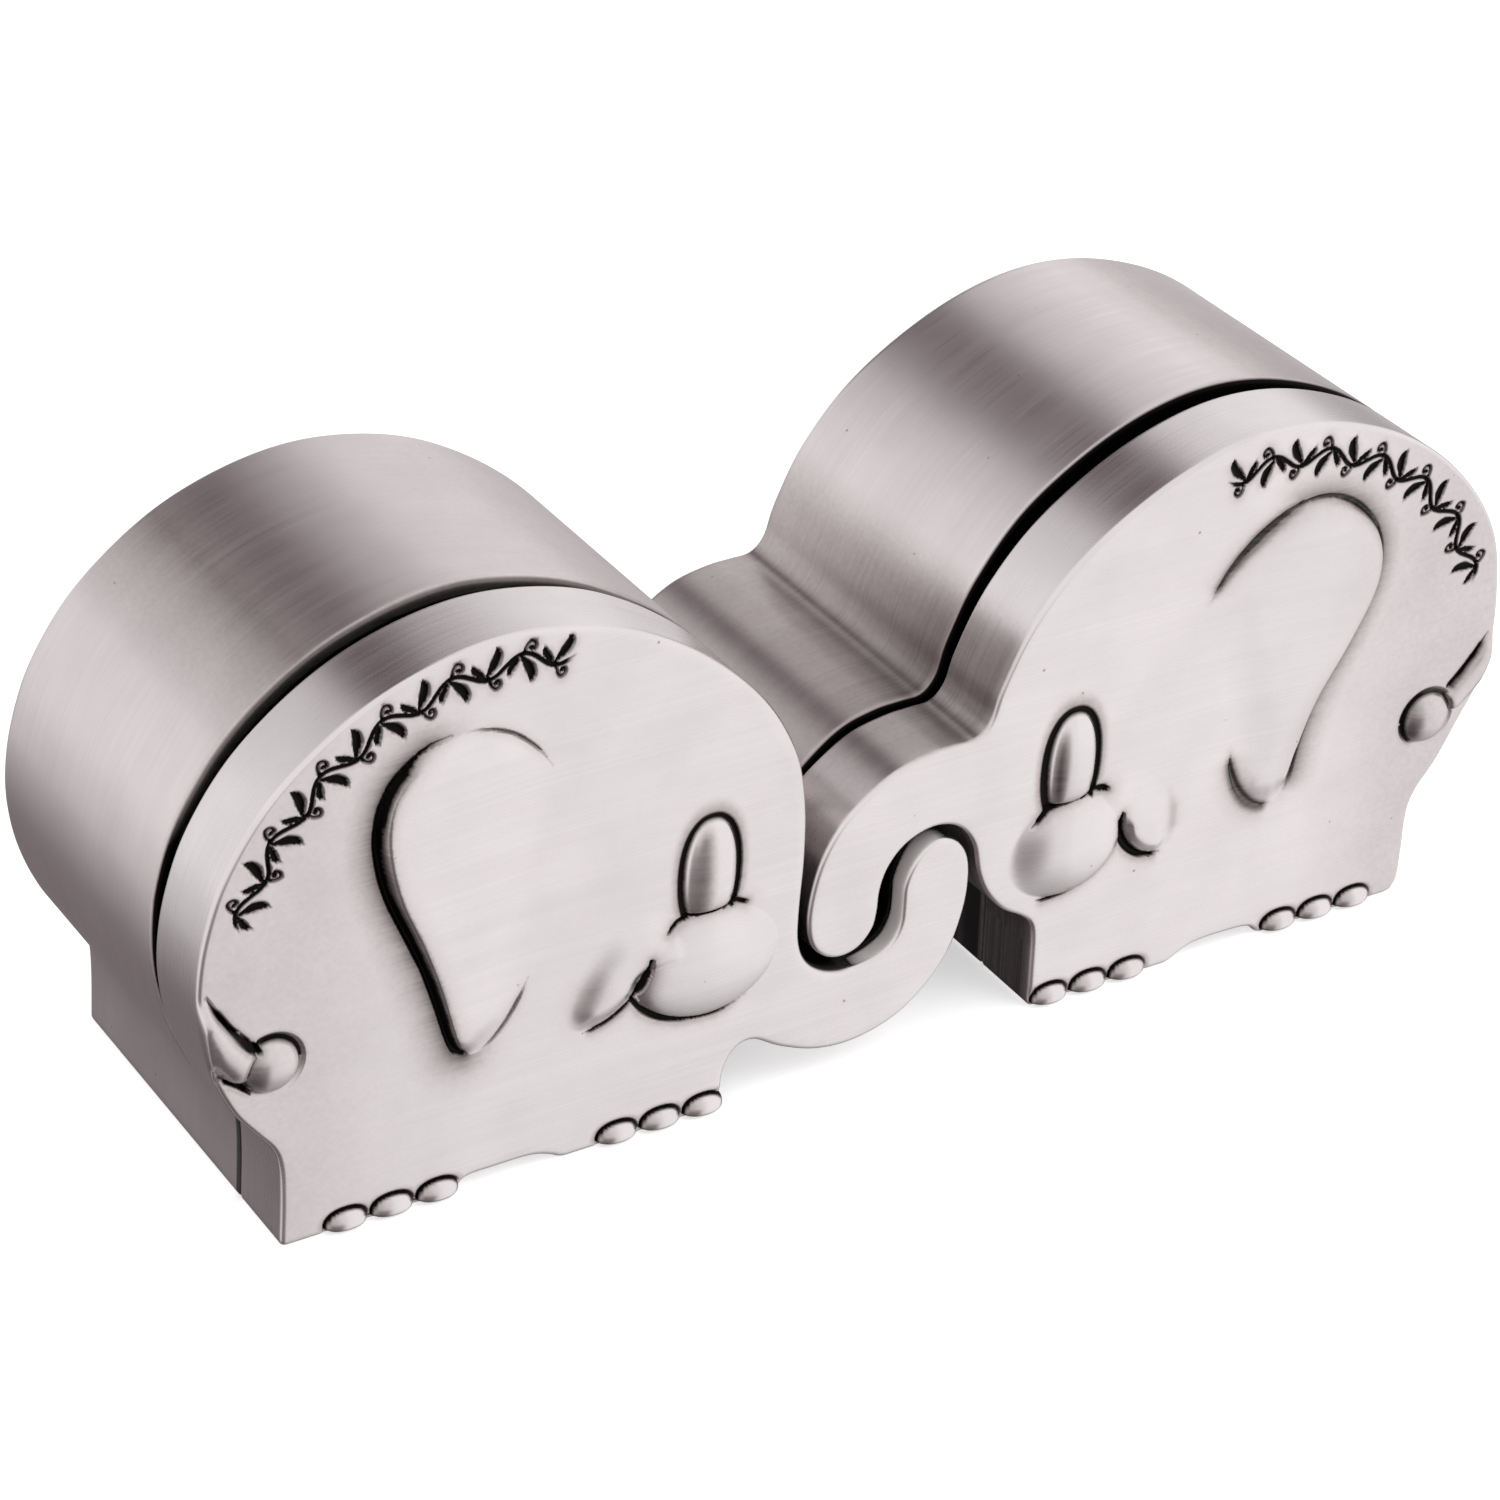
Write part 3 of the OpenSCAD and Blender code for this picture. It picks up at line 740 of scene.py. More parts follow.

# %% [markdown]
# ## Raised shapes
# The ear is a closed curve filled with a slope: high and steep along the rump side, and running
# out into the plain face towards the eye. How steep its edge is goes knot by knot.
#
# The cheek and the tusk are low domes that melt into each other. The cheek is an oval whose edge is
# crisp in some directions and soft in others, in degrees round it. The eye is an upright bead in a
# black sunk ring. The bead lies a little off the ring's middle, a strip of painted shade darkens it on
# one side, and the cheek covers its foot. The tail is a tapered strand with a ball, whose ring is
# darker in some directions than in others, and painted shade darkens the ball's left side.

# %% List the raised shapes
EARS = {
    "tooth": ([(26.4, 30.6), (27.9, 33), (30, 35), (32.6, 35.9), (35.4, 35.8), (37.9, 35),
               (39.4, 33.5), (40.1, 31.3), (40, 28.4), (39.1, 24.8), (37.4, 20.8), (36, 16.8),
               (34.8, 12.6), (33.7, 11.2), (32, 11.3), (30.4, 12.8), (29, 15.2), (28.2, 18.2)],
              [0.1, 0.7, 0.7, 0.5, 0.8, 1, 1, 1, 1, 1, 1, 1, 1, 0.8, 0.6, 0.7, 0.5, 0, 0.1]),
    "curl": ([(25.8, 30.6), (27.2, 33), (29.8, 35), (32.6, 36.3), (34.6, 36.6), (36.7, 36.1),
              (38.5, 34.8), (39.95, 33), (40.65, 30.5), (40.25, 27.6), (38.4, 23.6), (36.4, 19.9),
              (35.2, 16.4), (34.6, 13.4), (33.7, 12), (32.2, 11.8), (30.6, 13), (29.3, 15.4),
              (28.6, 18.2)],
             [0.2, 0.8, 0.9, 0.8, 0.8, 0.9, 1, 1, 1, 1, 1, 1, 1, 0.9, 0.6, 0.6, 0.8, 0.5, 0, 0.2])
}
TUSKS = {
    "tooth": ([(16.2, 15.6), (18.8, 18.2), (21.9, 17.9), (24.1, 16), (25.6, 13.3), (25.9, 11.5),
               (25.1, 10.2), (23.7, 10.1), (22.4, 10.5), (21.4, 11.1), (20.6, 11.8), (19.9, 12.9),
               (18.6, 13), (16.6, 13.2)],
              [0.6, 0, 0, 0, 0.1, 0.3, 0.5, 0.9, 1, 1, 1, 1, 0.9, 0.8, 0.6]),
    "curl": ([(16.9, 15.8), (18.7, 18.1), (21, 18), (22.9, 16.6), (24, 14.6), (24.2, 12.6),
              (23.9, 11), (23, 10.4), (21.9, 10.75), (21, 11.4), (20.2, 12.4), (19.8, 13.5),
              (18.8, 13.9), (17.1, 14)],
             [0.6, 0.1, 0, 0, 0.3, 0.6, 0.8, 0.9, 1, 1, 1, 1, 0.9, 0.7, 0.6])
}
EAR_BEVEL, EAR_SOFT = {"tooth": 0.62, "curl": 0.6}, 4.5
TUSK_SHAPE, TUSK_SOFT = {"tooth": (0.55, 1.4), "curl": (0.36, 0.8)}, 3.1
CHEEK_HEIGHT = {"tooth": 0.95, "curl": 1.15}
CHEEKS = {"tooth": (14.8, 12.7, 5.6, 4.25), "curl": (14.7, 13.3, 4.8, 4.0)}
CHEEK_EDGE = {
    "tooth": ([0, 30, 50, 75, 110, 130, 150, 180, 215, 240, 270, 300, 330, 360],
              [1, 0.7, 0.6, 1, 1, 0.85, 0.7, 0.65, 0.75, 0.9, 1, 1, 1, 1]),
    "curl": ([0, 15, 40, 65, 110, 130, 150, 180, 215, 240, 270, 300, 330, 360],
             [1, 0.8, 0.6, 0.9, 0.9, 0.6, 0.1, 0, 0.1, 0.5, 0.9, 1, 1, 1])
}
EYES = {"tooth": (14.95, 19.9, 2.55, 4.8), "curl": (14.65, 20.0, 2.6, 4.9)}
EYE_SHADE_STRIP = {"tooth": (0.75, 0.6, 0.5), "curl": (-1.35, 0.5, 0.7)}
BEADS = {"tooth": (0.05, 0.5), "curl": (0.1, 0.62)}
TAILS = {
    "tooth": ((47.7, 15, 2.0), [(52.5, 21.4), (52, 19.3), (51, 17.4), (49.8, 15.9)],
              [0.15, 0.85, 1.3, 1.45]),
    "curl": ((47.2, 15.1, 2.05), [(52.4, 20.8), (51.9, 19), (50.9, 17.4), (49.6, 16.1)],
             [0.25, 0.85, 1.05, 0.95])
}
STRAND_HEIGHT, TAIL_RING = {"tooth": 0.9, "curl": 0.55}, 0.34
TAIL_SHADE = {
    "tooth": ([-180, -120, -60, -25, -5, 40, 60, 180], [0.6, 0.3, 0.6, 0.8, 0.4, 0.4, 0.9, 1]),
    "curl": ([-180, -125, -100, -30, 0, 45, 180], [1, 0.9, 0, 0, 0.35, 0.8, 1])
}
RUMP_SHADE = {"tooth": 0.12, "curl": 0.15}
TOE_ROWS, TOE_COUNT, TOE_PITCH, TOE_R, TOE_BULGE = (14.6, 35.4), 3, 3.45, 1.7, 0.85
TOE_LIFT, TOE_PROUD = 0.55, 0.8
EYE_SQUARE, TOE_SQUARE = 2.25, 2.3
closed_curves = {"ear": {}, "tusk": {}}
for kind in SIDES:
    closed_curves["ear"][kind] = curve(EARS[kind][0], closed=True)
    closed_curves["tusk"][kind] = curve(TUSKS[kind][0], closed=True)
print("ear curves:", [len(path[0]) for path in closed_curves["ear"].values()], "points")

# %% [markdown]
# Now the heights. A pillow rises from a closed curve in an S-shaped slope: short and steep where
# its edge is crisp, long and hardly visible where it is soft. Where two shapes meet, a softened
# maximum joins them without a crease. The eye's bead and the toes are ovals that are a little squarer
# than an ellipse, by a power just above 2.

# %% Shape the cheek, the tusk and the eye
def pillow(points, path, edge, crisp, soft):
    """0 outside a closed curve, rising to 1 inside it."""
    reach = soft + (crisp - soft) * by_knot(edge, path[1])
    share, _ = nearest(points, path, reach)
    return inside(points, path[0][:-1]) * smooth(share, 0, 1)

def join(a, b, softness=0.12):
    """Softened maximum of two heights, which changes nothing where one of them is zero."""
    width = softness * smooth(np.minimum(a, b), 0, 0.5) + 1e-6
    near = np.clip(1 - np.abs(a - b) / width, 0, 1)
    return np.maximum(a, b) + near ** 2 * width / 4

def oval(points, centre, half, power):
    """1 on the border of an oval, less inside it and more outside."""
    u, z = np.abs((points - centre) / half).T
    return (u ** power + z ** power) ** (1 / power)

def cheek_dome(kind, points):
    """Height of the cheek, and which points it covers. Its edge changes slowly round the oval."""
    u, z, a, b = CHEEKS[kind]
    across, up = ((points - (u, z)) / (a, b)).T
    reach = np.hypot(across, up)
    angle = np.degrees(np.arctan2(up, across)) % 360
    shifts = range(-28, 29, 4)
    edge = sum(np.interp((angle + shift) % 360, *CHEEK_EDGE[kind]) for shift in shifts) / len(shifts)
    return CHEEK_HEIGHT[kind] * np.clip(1 - reach ** 2, 0, 1) ** (1.5 - 0.95 * edge), reach < 1

def eye_ovals(kind):
    """Centre and half sizes of the eye's ring and of its bead."""
    u, z, a, b = EYES[kind]
    shift, rim = BEADS[kind]
    return ((u, z), (a, b)), ((u + SIDES[kind] * shift, z), (a - rim, b - rim))

def eye_bead(kind, points):
    """Height and patina of the eye: a bead, its black ring, smoke round that, and a strip of painted
    shade on the bead.
    """
    outer, inner = eye_ovals(kind)
    ring, bead = oval(points, *outer, EYE_SQUARE), oval(points, *inner, EYE_SQUARE)
    height = np.clip(1 - bead ** 2, 0, 1) ** 0.6 - 0.12 * (1 - smooth(ring, 0.93, 1.0))
    black = smooth(bead, 0.95, 1.02) * (1 - smooth(ring, 0.97, 1.04))
    smoke = 0.35 * np.exp(-(np.clip(ring - 1, 0, None) / 0.16) ** 2) * (ring > 1)
    # A strip of painted shade on one side of the bead.
    middle, half, tone = EYE_SHADE_STRIP[kind]
    strip = tone * np.exp(-((points[:, 0] - EYES[kind][0] - middle) / half) ** 2)
    strip = strip * (ring < 1) * smooth(1 - bead, 0, 0.3)
    return height, np.maximum(black, np.maximum(smoke, strip))

def head(kind, points, proud, dark):
    """Cheek, tusk and eye."""
    cheek, covered = cheek_dome(kind, points)
    height, crisp = TUSK_SHAPE[kind]
    tusk = height * pillow(points, closed_curves["tusk"][kind], TUSKS[kind][1], crisp, TUSK_SOFT)
    eye, shade = eye_bead(kind, points)
    proud[:] = np.where(covered, proud, proud + eye)
    dark[:] = np.maximum(dark, np.where(covered, 0, shade))
    shape = join(cheek, tusk, 0.6)
    proud[:] = np.where(shape > 0.01, join(np.maximum(proud, 0), shape), proud)

print("two domes of 1 mm join at", round(float(join(1.0, 1.0, 0.6)), 2), "mm")

# %% [markdown]
# The tail, the ear and the grooves round the toes are shaped in the same way. Then everything is put
# on the face in the order in which an engraver would work: the raised shapes, the lines, the toes.

# %% Work out the whole relief
def tail(kind, points, proud, dark):
    """Tapered strand, and the ball at its end in a sunk black ring."""
    (bu, bz, br), knots, widths = TAILS[kind]
    away, knot = nearest(points, curve(knots, steps=8))
    half = by_knot(widths, knot)
    strand = STRAND_HEIGHT[kind] * smooth(half, 0.1, 0.8)
    strand = strand * np.sqrt(np.clip(1 - (away / half) ** 2, 0, 1))
    proud[:] = np.where(strand > 0, np.maximum(proud, strand), proud)
    centre = np.hypot(points[:, 0] - bu, points[:, 1] - bz)
    outer = br + TAIL_RING
    black = smooth(centre, br - 0.16, br - 0.02) * (1 - smooth(centre, outer - 0.1, outer + 0.08))
    proud[:] = np.where((centre < outer) & (strand < 0.3), -0.2, proud)
    ball = 1.15 * np.clip(1 - (centre / br) ** 2, 0, 1) ** 0.55
    proud[:] = np.where(centre < br, ball - 0.1, proud)
    smoke = 0.35 * np.exp(-(np.clip(centre - outer, 0, None) / 0.35) ** 2) * (centre > br - 0.1)
    fade = np.interp(np.degrees(np.arctan2(points[:, 1] - bz, points[:, 0] - bu)), *TAIL_SHADE[kind])
    # Painted shade on the ball's left side.
    shaded_side = smooth(SIDES[kind] * (bu - points[:, 0]) / br, 0.0, 1.0) * (centre < br)
    dark[:] = np.maximum(dark, 0.65 * shaded_side)
    dark[:] = np.maximum(dark, np.maximum(black, smoke) * fade)

def toe_places():
    """Middle of each toe on a lid, in (u, z)."""
    return [(row + number * TOE_PITCH, TOE_LIFT) for row in TOE_ROWS for number in range(TOE_COUNT)]

def toe_grooves(points, proud, dark):
    """Black groove round the upper side of each toe."""
    for centre in toe_places():
        away = oval(points, centre, (1, 1 - TOE_LIFT / TOE_R), TOE_SQUARE)
        line = smooth(away, 1.35, 1.5) * (1 - smooth(away, 1.56, 1.72))
        proud[:] -= 0.2 * line * (proud > -0.15)
        smoke = 0.3 * np.exp(-(np.clip(away - 1.8, 0, None) / 0.3) ** 2)
        dark[:] = np.maximum(dark, np.maximum(line, smoke * (away > 1.4)))

def relief(kind, points):
    """How far the face stands proud at each (u, z) point, and how dark its patina is."""
    proud, dark = np.zeros(len(points)), np.zeros(len(points))
    ear = pillow(points, closed_curves["ear"][kind], EARS[kind][1], EAR_BEVEL[kind], EAR_SOFT)
    slope = smooth(points[:, 0], 26, 41.5) * 0.92 + 0.06 * (kind == "curl")
    proud += np.clip(slope, 0, 1.05) * ear
    head(kind, points, proud, dark)
    tail(kind, points, proud, dark)
    for line in engraving[kind] + vine_lines:
        line.cut(points, proud, dark, ear > 0)
    toe_grooves(points, proud, dark)
    return proud, np.maximum(dark, RUMP_SHADE[kind] * smooth(points[:, 0], 33, 47))

middle_of_cheek = relief("tooth", np.array([CHEEKS["tooth"][:2]]))[0][0]
print("the tooth elephant's cheek stands", round(middle_of_cheek, 2), "mm proud")

# %% [markdown]
# ## Where the points go
# A sharp line needs points along it. So rows of points follow every line of the relief, a fine net
# fills the space close to them, a middling one the domes, and a coarse one the plain metal. Each net
# is given by its pitch and by how near to the rows it begins and how far from them it ends.

# %% Choose the points of a face
ROW_PITCH, CLOSEST = 0.12, 0.085
NETS = ((0.14, 0.14, 0.5), (0.3, 0.5, 3.2), (0.66, 3.2, 999))
BORDER_GAP = 0.2
GROOVE_HALF, GROOVE_REACH = (1.62, 1.1), 0.3

def net(low, high, pitch):
    """Points of a triangular net."""
    rows = np.arange(low[1], high[1], pitch * math.sqrt(3) / 2)
    columns = np.arange(low[0], high[0], pitch)
    u, z = np.meshgrid(columns, rows)
    u = u + (np.arange(len(rows)) % 2)[:, None] * pitch / 2
    return np.column_stack([u.ravel(), z.ravel()])

def ellipse(centre, half, power=2.0, count=96):
    """Closed oval, squarer than an ellipse where the power is above 2."""
    angle = np.linspace(0, 2 * math.pi, count + 1)
    places = np.column_stack([np.cos(angle), np.sin(angle)])
    places /= ((np.abs(places) ** power).sum(axis=1) ** (1 / power))[:, None]
    return places * half + centre

def guide_curves(kind):
    """All curves that the rows of points follow, as (places, widest offset)."""
    guides = [(closed_curves["ear"][kind][0], 0.5), (closed_curves["tusk"][kind][0], 0.2)]
    guides += [(line.path[0], max(line.widths) + 0.16) for line in engraving[kind] + vine_lines]
    ring, bead = eye_ovals(kind)
    guides += [(ellipse(*ring, EYE_SQUARE), 0.12), (ellipse(*bead, EYE_SQUARE), 0.18)]
    guides.append((ellipse(CHEEKS[kind][:2], CHEEKS[kind][2:]), 0.2))
    bu, bz, br = TAILS[kind][0]
    guides += [(ellipse((bu, bz), (r, r)), 0.14) for r in (br, br + TAIL_RING)]
    guides += [(ellipse(place, GROOVE_HALF, TOE_SQUARE), GROOVE_REACH) for place in toe_places()]
    return guides

def rows_along(places, reach):
    """Rows of points on and beside a curve, out to a reach."""
    length = np.append(0, np.cumsum(np.hypot(*np.diff(places, axis=0).T)))
    at = np.linspace(0, length[-1], max(3, int(length[-1] / ROW_PITCH)))
    middle = np.column_stack([np.interp(at, length, places[:, i]) for i in range(2)])
    run = np.gradient(middle, axis=0)
    normal = np.column_stack([-run[:, 1], run[:, 0]]) / np.hypot(*run.T)[:, None]
    rows = math.ceil(reach / ROW_PITCH)
    return np.vstack([middle + row * ROW_PITCH * normal for row in range(-rows, rows + 1)])

def thin_out(points, pitch):
    """Keep one point in each small square, the first one given."""
    square = np.floor(points / pitch).astype(int)
    _, first = np.unique(square, axis=0, return_index=True)
    return points[np.sort(first)]

def face_points(kind, border):
    """Points inside the face's border in (u, z), denser near the relief."""
    rows = thin_out(np.vstack([rows_along(*guide) for guide in guide_curves(kind)]), CLOSEST)
    low, high = border.min(axis=0), border.max(axis=0)
    kept = [rows]
    tree = KDTree(len(rows))
    for number, place in enumerate(rows):
        tree.insert((*place, 0), number)
    tree.balance()
    for pitch, near, far in NETS:
        places = net(low, high, pitch)
        away = np.array([tree.find((*place, 0))[2] for place in places])
        kept.append(places[(away >= near) & (away < far)])
    points = np.vstack(kept)
    points = points[inside(points, border)]
    return points[gap_to(points, border) > BORDER_GAP]

print("nets with a pitch of", [pitch for pitch, _, _ in NETS], "mm")

# %% [markdown]
# ## The two lids
# A lid is a thick plate with the same outline. Its face is the sculpted end, a bright rounded rim
# leads over to the wall, and behind it sit the round lip that keeps the lid in place and two
# pockets for magnets.

# %% Build the lids
RIM_IN, RIM_BACK, SEAM_ROUND = 0.38, 0.35, 0.22
LIP_R, LIP_WALL, LIP_ROUND, ROOT = CAVITY_R - 0.25, 1.3, 0.2, 0.1
LID_CREASE = 65

def lip(casting, x):
    """Round lip behind a lid, with its flat inner floor, and the ring at its root."""
    rim = circle(x, CAVITY_Z, LIP_R)
    outer = [(0, Y_SPLIT, 0.3), (0, Y_SPLIT + ROOT, 0.2), (0, Y_LIP - LIP_ROUND - 0.1, 0.0),
             (0, Y_LIP - LIP_ROUND, 0.0), (LIP_ROUND, Y_LIP, 0.0)]
    inner = [(LIP_WALL - LIP_ROUND, Y_LIP, 0.0), (LIP_WALL, Y_LIP - LIP_ROUND, 0.0),
             (LIP_WALL, Y_SPLIT + ROOT, 0.2), (LIP_WALL, Y_SPLIT, 0.3)]
    root, floor = wall(casting, rim, outer + inner)
    casting.end([floor], 1)
    return root

def cover_stations(kind, outline, proud, dark):
    """Stations of a lid's wall: bright rim, plain wall, round at the seam and flat edge."""
    # The lid's wall takes the same painted shade as the box: in the seam of the feet and near the other
    # elephant.
    seam, deep, bare = in_gap(outline), hollow(kind, outline), tip_side(kind, outline)
    clean = deep * (1 - bare)
    stations = []
    for a in quarter(6):
        y = Y_FRONT + RIM_BACK - (RIM_BACK + proud) * math.cos(a)
        shade = dark * max(0.0, 1 - 1.6 * a) + (0.75 * clean - 0.8 * bare) * math.sin(a) ** 4
        stations.append((RIM_IN * (1 - math.sin(a)), y, shade))
    stations += [(0.0, Y_FRONT + RIM_BACK + 0.1, 0.8 * clean - bare),
                 (0.0, Y_FRONT + 1.2, clean - bare), (0.0, Y_FRONT + 1.9, deep),
                 (0.0, Y_SPLIT - SEAM_ROUND - 0.1, deep)]
    for a in quarter(4):
        stations.append((SEAM_ROUND * (1 - math.cos(a)), Y_SPLIT - SEAM_ROUND * (1 - math.sin(a)),
                         np.maximum(deep, seam * math.sin(a))))
    stations.append((SEAM_ROUND + FLAT_EDGE, Y_SPLIT, seam))
    return stations

def cover_casting(kind):
    """A lid: its wall, its sculpted face, and its back with the lip and the pockets."""
    side, outline = SIDES[kind], outlines[kind]
    casting = Casting()
    mirror = np.array([side, 1])
    border = inset(outline, RIM_IN)
    proud, dark = relief(kind, border * mirror)
    proud = np.clip(proud, -0.3, 1.1)
    first, last = wall(casting, outline, cover_stations(kind, outline, proud, dark))
    places = face_points(kind, border * mirror)
    proud, dark = relief(kind, places)
    casting.end([first], -1, places * mirror, Y_FRONT - proud, dark)
    holes = [lip(casting, side * CAVITY_X)] + pockets(casting, kind, Y_SPLIT - POCKET_DEPTH)
    casting.end([last] + holes, 1)
    return casting

covers = {}
for kind in SIDES:
    mesh = cover_casting(kind).mesh(kind + "_cover", LID_CREASE)
    covers[kind] = piece(kind + "_cover_casting", mesh)

# %% [markdown]
# ## Toes by Geometry Nodes
# Each foot shows three round toes, twelve in all. What repeats is best made once and placed by a
# rule, and that is what Geometry Nodes are for: a ball, made a little square by a power of 2.3, is
# pressed down until it is wider than high, and instances of it are set along two short lines. Its
# middle lies behind the face, so only a cap stands proud, and its hidden foot is darkened by the
# same patina attribute that the castings carry, which also paints shade on each toe's left flank.
#
# A few helpers keep trees short to write. They add a node, and set or link its inputs by name.

# %% Write helpers for node trees
def add(tree, kind, **inputs):
    """Add a node, and set or link its inputs by name."""
    node = tree.nodes.new(kind)
    for name, value in inputs.items():
        fill(tree, node.inputs[name.replace("_", " ")], value)
    return node

def fill(tree, socket, value):
    """Link a socket where the value comes from another node, and set it otherwise."""
    if isinstance(value, bpy.types.NodeSocket):
        tree.links.new(value, socket)
    else:
        socket.default_value = value

def math_node(tree, operation, a, b=None):
    """One step of arithmetic."""
    node = tree.nodes.new("ShaderNodeMath")
    node.operation = operation
    fill(tree, node.inputs[0], a)
    if b is not None:
        fill(tree, node.inputs[1], b)
    return node.outputs[0]

def product(tree, *values):
    """All the values multiplied."""
    total = values[0]
    for value in values[1:]:
        total = math_node(tree, "MULTIPLY", total, value)
    return total

def remap(tree, value, low, high, to_low=0.0, to_high=1.0):
    """The range from low to high stretched over another, and held at its ends."""
    return add(tree, "ShaderNodeMapRange", Value=value, From_Min=low, From_Max=high,
               To_Min=to_low, To_Max=to_high).outputs[0]

print("helpers:", [helper.__name__ for helper in (add, fill, math_node, product, remap)])

# %% [markdown]
# The tree has an input for each size, so that the same rule could make other toes. The two lids
# differ only in Side, which is -1 or 1 and mirrors the rows.

# %% Build the toe tree
TOE_INPUTS = {"Side": 1.0, "Front foot": TOE_ROWS[0] * MM, "Back foot": TOE_ROWS[1] * MM,
              "Pitch": TOE_PITCH * MM, "Radius": TOE_R * MM, "Depth": 0.0, "Bulge": TOE_BULGE}
TOE_SEGMENTS, TOE_RINGS = 40, 28

def toe_tree():
    """Rows of toes on both feet of a lid, as real geometry with its metal."""
    tree = bpy.data.node_groups.new("rows of toes", "GeometryNodeTree")
    for name, value in TOE_INPUTS.items():
        socket = tree.interface.new_socket(name, in_out="INPUT", socket_type="NodeSocketFloat")
        socket.default_value = value
    count = tree.interface.new_socket("Toes", in_out="INPUT", socket_type="NodeSocketInt")
    count.default_value = TOE_COUNT
    tree.interface.new_socket("Metal", in_out="INPUT", socket_type="NodeSocketMaterial")
    tree.interface.new_socket("Geometry", in_out="OUTPUT", socket_type="NodeSocketGeometry")
    given = tree.nodes.new("NodeGroupInput").outputs
    step = add(tree, "ShaderNodeCombineXYZ", X=product(tree, given["Side"], given["Pitch"]))
    rows = tree.nodes.new("GeometryNodeJoinGeometry")
    for foot in ("Front foot", "Back foot"):
        first = add(tree, "ShaderNodeCombineXYZ", X=product(tree, given["Side"], given[foot]),
                    Y=given["Depth"])
        row = add(tree, "GeometryNodeMeshLine", Count=given["Toes"], Start_Location=first.outputs[0],
                  Offset=step.outputs[0])
        tree.links.new(row.outputs[0], rows.inputs[0])
    toe = pressed_toe(tree, given["Radius"], given["Bulge"])
    placed = add(tree, "GeometryNodeInstanceOnPoints", Points=rows.outputs[0], Instance=toe)
    real = add(tree, "GeometryNodeRealizeInstances", Geometry=placed.outputs[0])
    metal = add(tree, "GeometryNodeSetMaterial", Geometry=real.outputs[0], Material=given["Metal"])
    out = tree.nodes.new("NodeGroupOutput")
    tree.links.new(metal.outputs[0], out.inputs[0])
    return tree

def pressed_toe(tree, radius, bulge):
    """One toe: a squarish ball pressed down on the table, with grain map, patina and painted shade on
    its left flank.
    """
    ball = add(tree, "GeometryNodeMeshUVSphere", Segments=TOE_SEGMENTS, Rings=TOE_RINGS, Radius=1.0)
    place = tree.nodes.new("GeometryNodeInputPosition").outputs[0]
    parts = add(tree, "ShaderNodeSeparateXYZ", Vector=place)
    total = 0.0
    for axis in parts.outputs:
        size = math_node(tree, "POWER", math_node(tree, "ABSOLUTE", axis), TOE_SQUARE)
        total = math_node(tree, "ADD", size, total)
    swell = math_node(tree, "DIVIDE", radius, math_node(tree, "POWER", total, 1 / TOE_SQUARE))
    x, y, z = (product(tree, axis, swell) for axis in parts.outputs)
    upper = product(tree, math_node(tree, "MAXIMUM", z, 0.0), 1 - TOE_LIFT / TOE_R)
    lower = product(tree, math_node(tree, "MINIMUM", z, 0.0), TOE_LIFT / TOE_R)
    height = math_node(tree, "ADD", math_node(tree, "ADD", upper, lower), TOE_LIFT * MM)
    flat = add(tree, "ShaderNodeCombineXYZ", X=x, Y=product(tree, y, bulge), Z=height)
    pressed = add(tree, "GeometryNodeSetPosition", Geometry=ball.outputs["Mesh"],
                  Position=flat.outputs[0])
    smoothed = add(tree, "GeometryNodeSetShadeSmooth", Geometry=pressed.outputs[0])
    foot = remap(tree, math_node(tree, "DIVIDE", y, radius), -0.56, -0.44)
    # Painted shade on the toe's left flank.
    shaded_flank = remap(tree, math_node(tree, "DIVIDE", x, radius), 0.0, -0.9, 0.0, 0.5)
    dark = add(tree, "GeometryNodeStoreNamedAttribute", Geometry=smoothed.outputs[0], Name="dark",
               Value=math_node(tree, "MAXIMUM", foot, shaded_flank))
    grain = tree.nodes.new("GeometryNodeStoreNamedAttribute")
    grain.data_type, grain.domain = "FLOAT2", "CORNER"
    grain.inputs["Name"].default_value = "grain"
    along = add(tree, "ShaderNodeCombineXYZ", X=x, Y=z)
    tree.links.new(dark.outputs[0], grain.inputs["Geometry"])
    tree.links.new(along.outputs[0], grain.inputs["Value"])
    return grain.outputs[0]

toes_by_rule = toe_tree()
print("inputs:", [item.name for item in toes_by_rule.interface.items_tree if item.in_out == "INPUT"])

# %% [markdown]
# The tree's values belong to a modifier, which finds each input by its identifier. The evaluated
# result is copied into a plain mesh, one for each lid, and the helper object goes away. The toes'
# metal is only named here. It gets its look further on, together with the lids.

# %% Make the toes
def grown(name, tree, values):
    """Run a Geometry Nodes tree and return its result as a plain mesh object."""
    helper = in_scene(name + "_rule", bpy.data.meshes.new(name + "_rule"))
    modifier = helper.modifiers.new("rule", "NODES")
    modifier.node_group = tree
    for item in tree.interface.items_tree:
        if item.in_out == "INPUT" and item.name in values:
            modifier[item.identifier] = values[item.name]
    graph = bpy.context.evaluated_depsgraph_get()
    mesh = bpy.data.meshes.new_from_object(helper.evaluated_get(graph))
    bpy.data.objects.remove(helper)
    mesh.name = name
    return piece(name, mesh)

pewter = bpy.data.materials.new("lid pewter")
toe_depth = (Y_FRONT - TOE_PROUD + TOE_R * TOE_BULGE) * MM
toes = {}
for kind, side in SIDES.items():
    values = {**TOE_INPUTS, "Side": float(side), "Depth": toe_depth, "Toes": TOE_COUNT, "Metal": pewter}
    toes[kind] = grown(kind + "_toes", toes_by_rule, values)

# %% [markdown]
# ## Linings
# A first tooth or curl isn't kept on bare metal. A flocked sleeve lines each cavity, and a velvet
# pad covers its back wall and the inside of the lid. A pad like this is a stiff disc wrapped in
# cloth: its front is slightly crowned, its edge rolls over, and the cloth lies in shallow uneven
# hollows. All of them are turned shapes, so one helper spins a profile round an axis along Y.

# %% Spin a profile
CORNERS_ROUND = 128

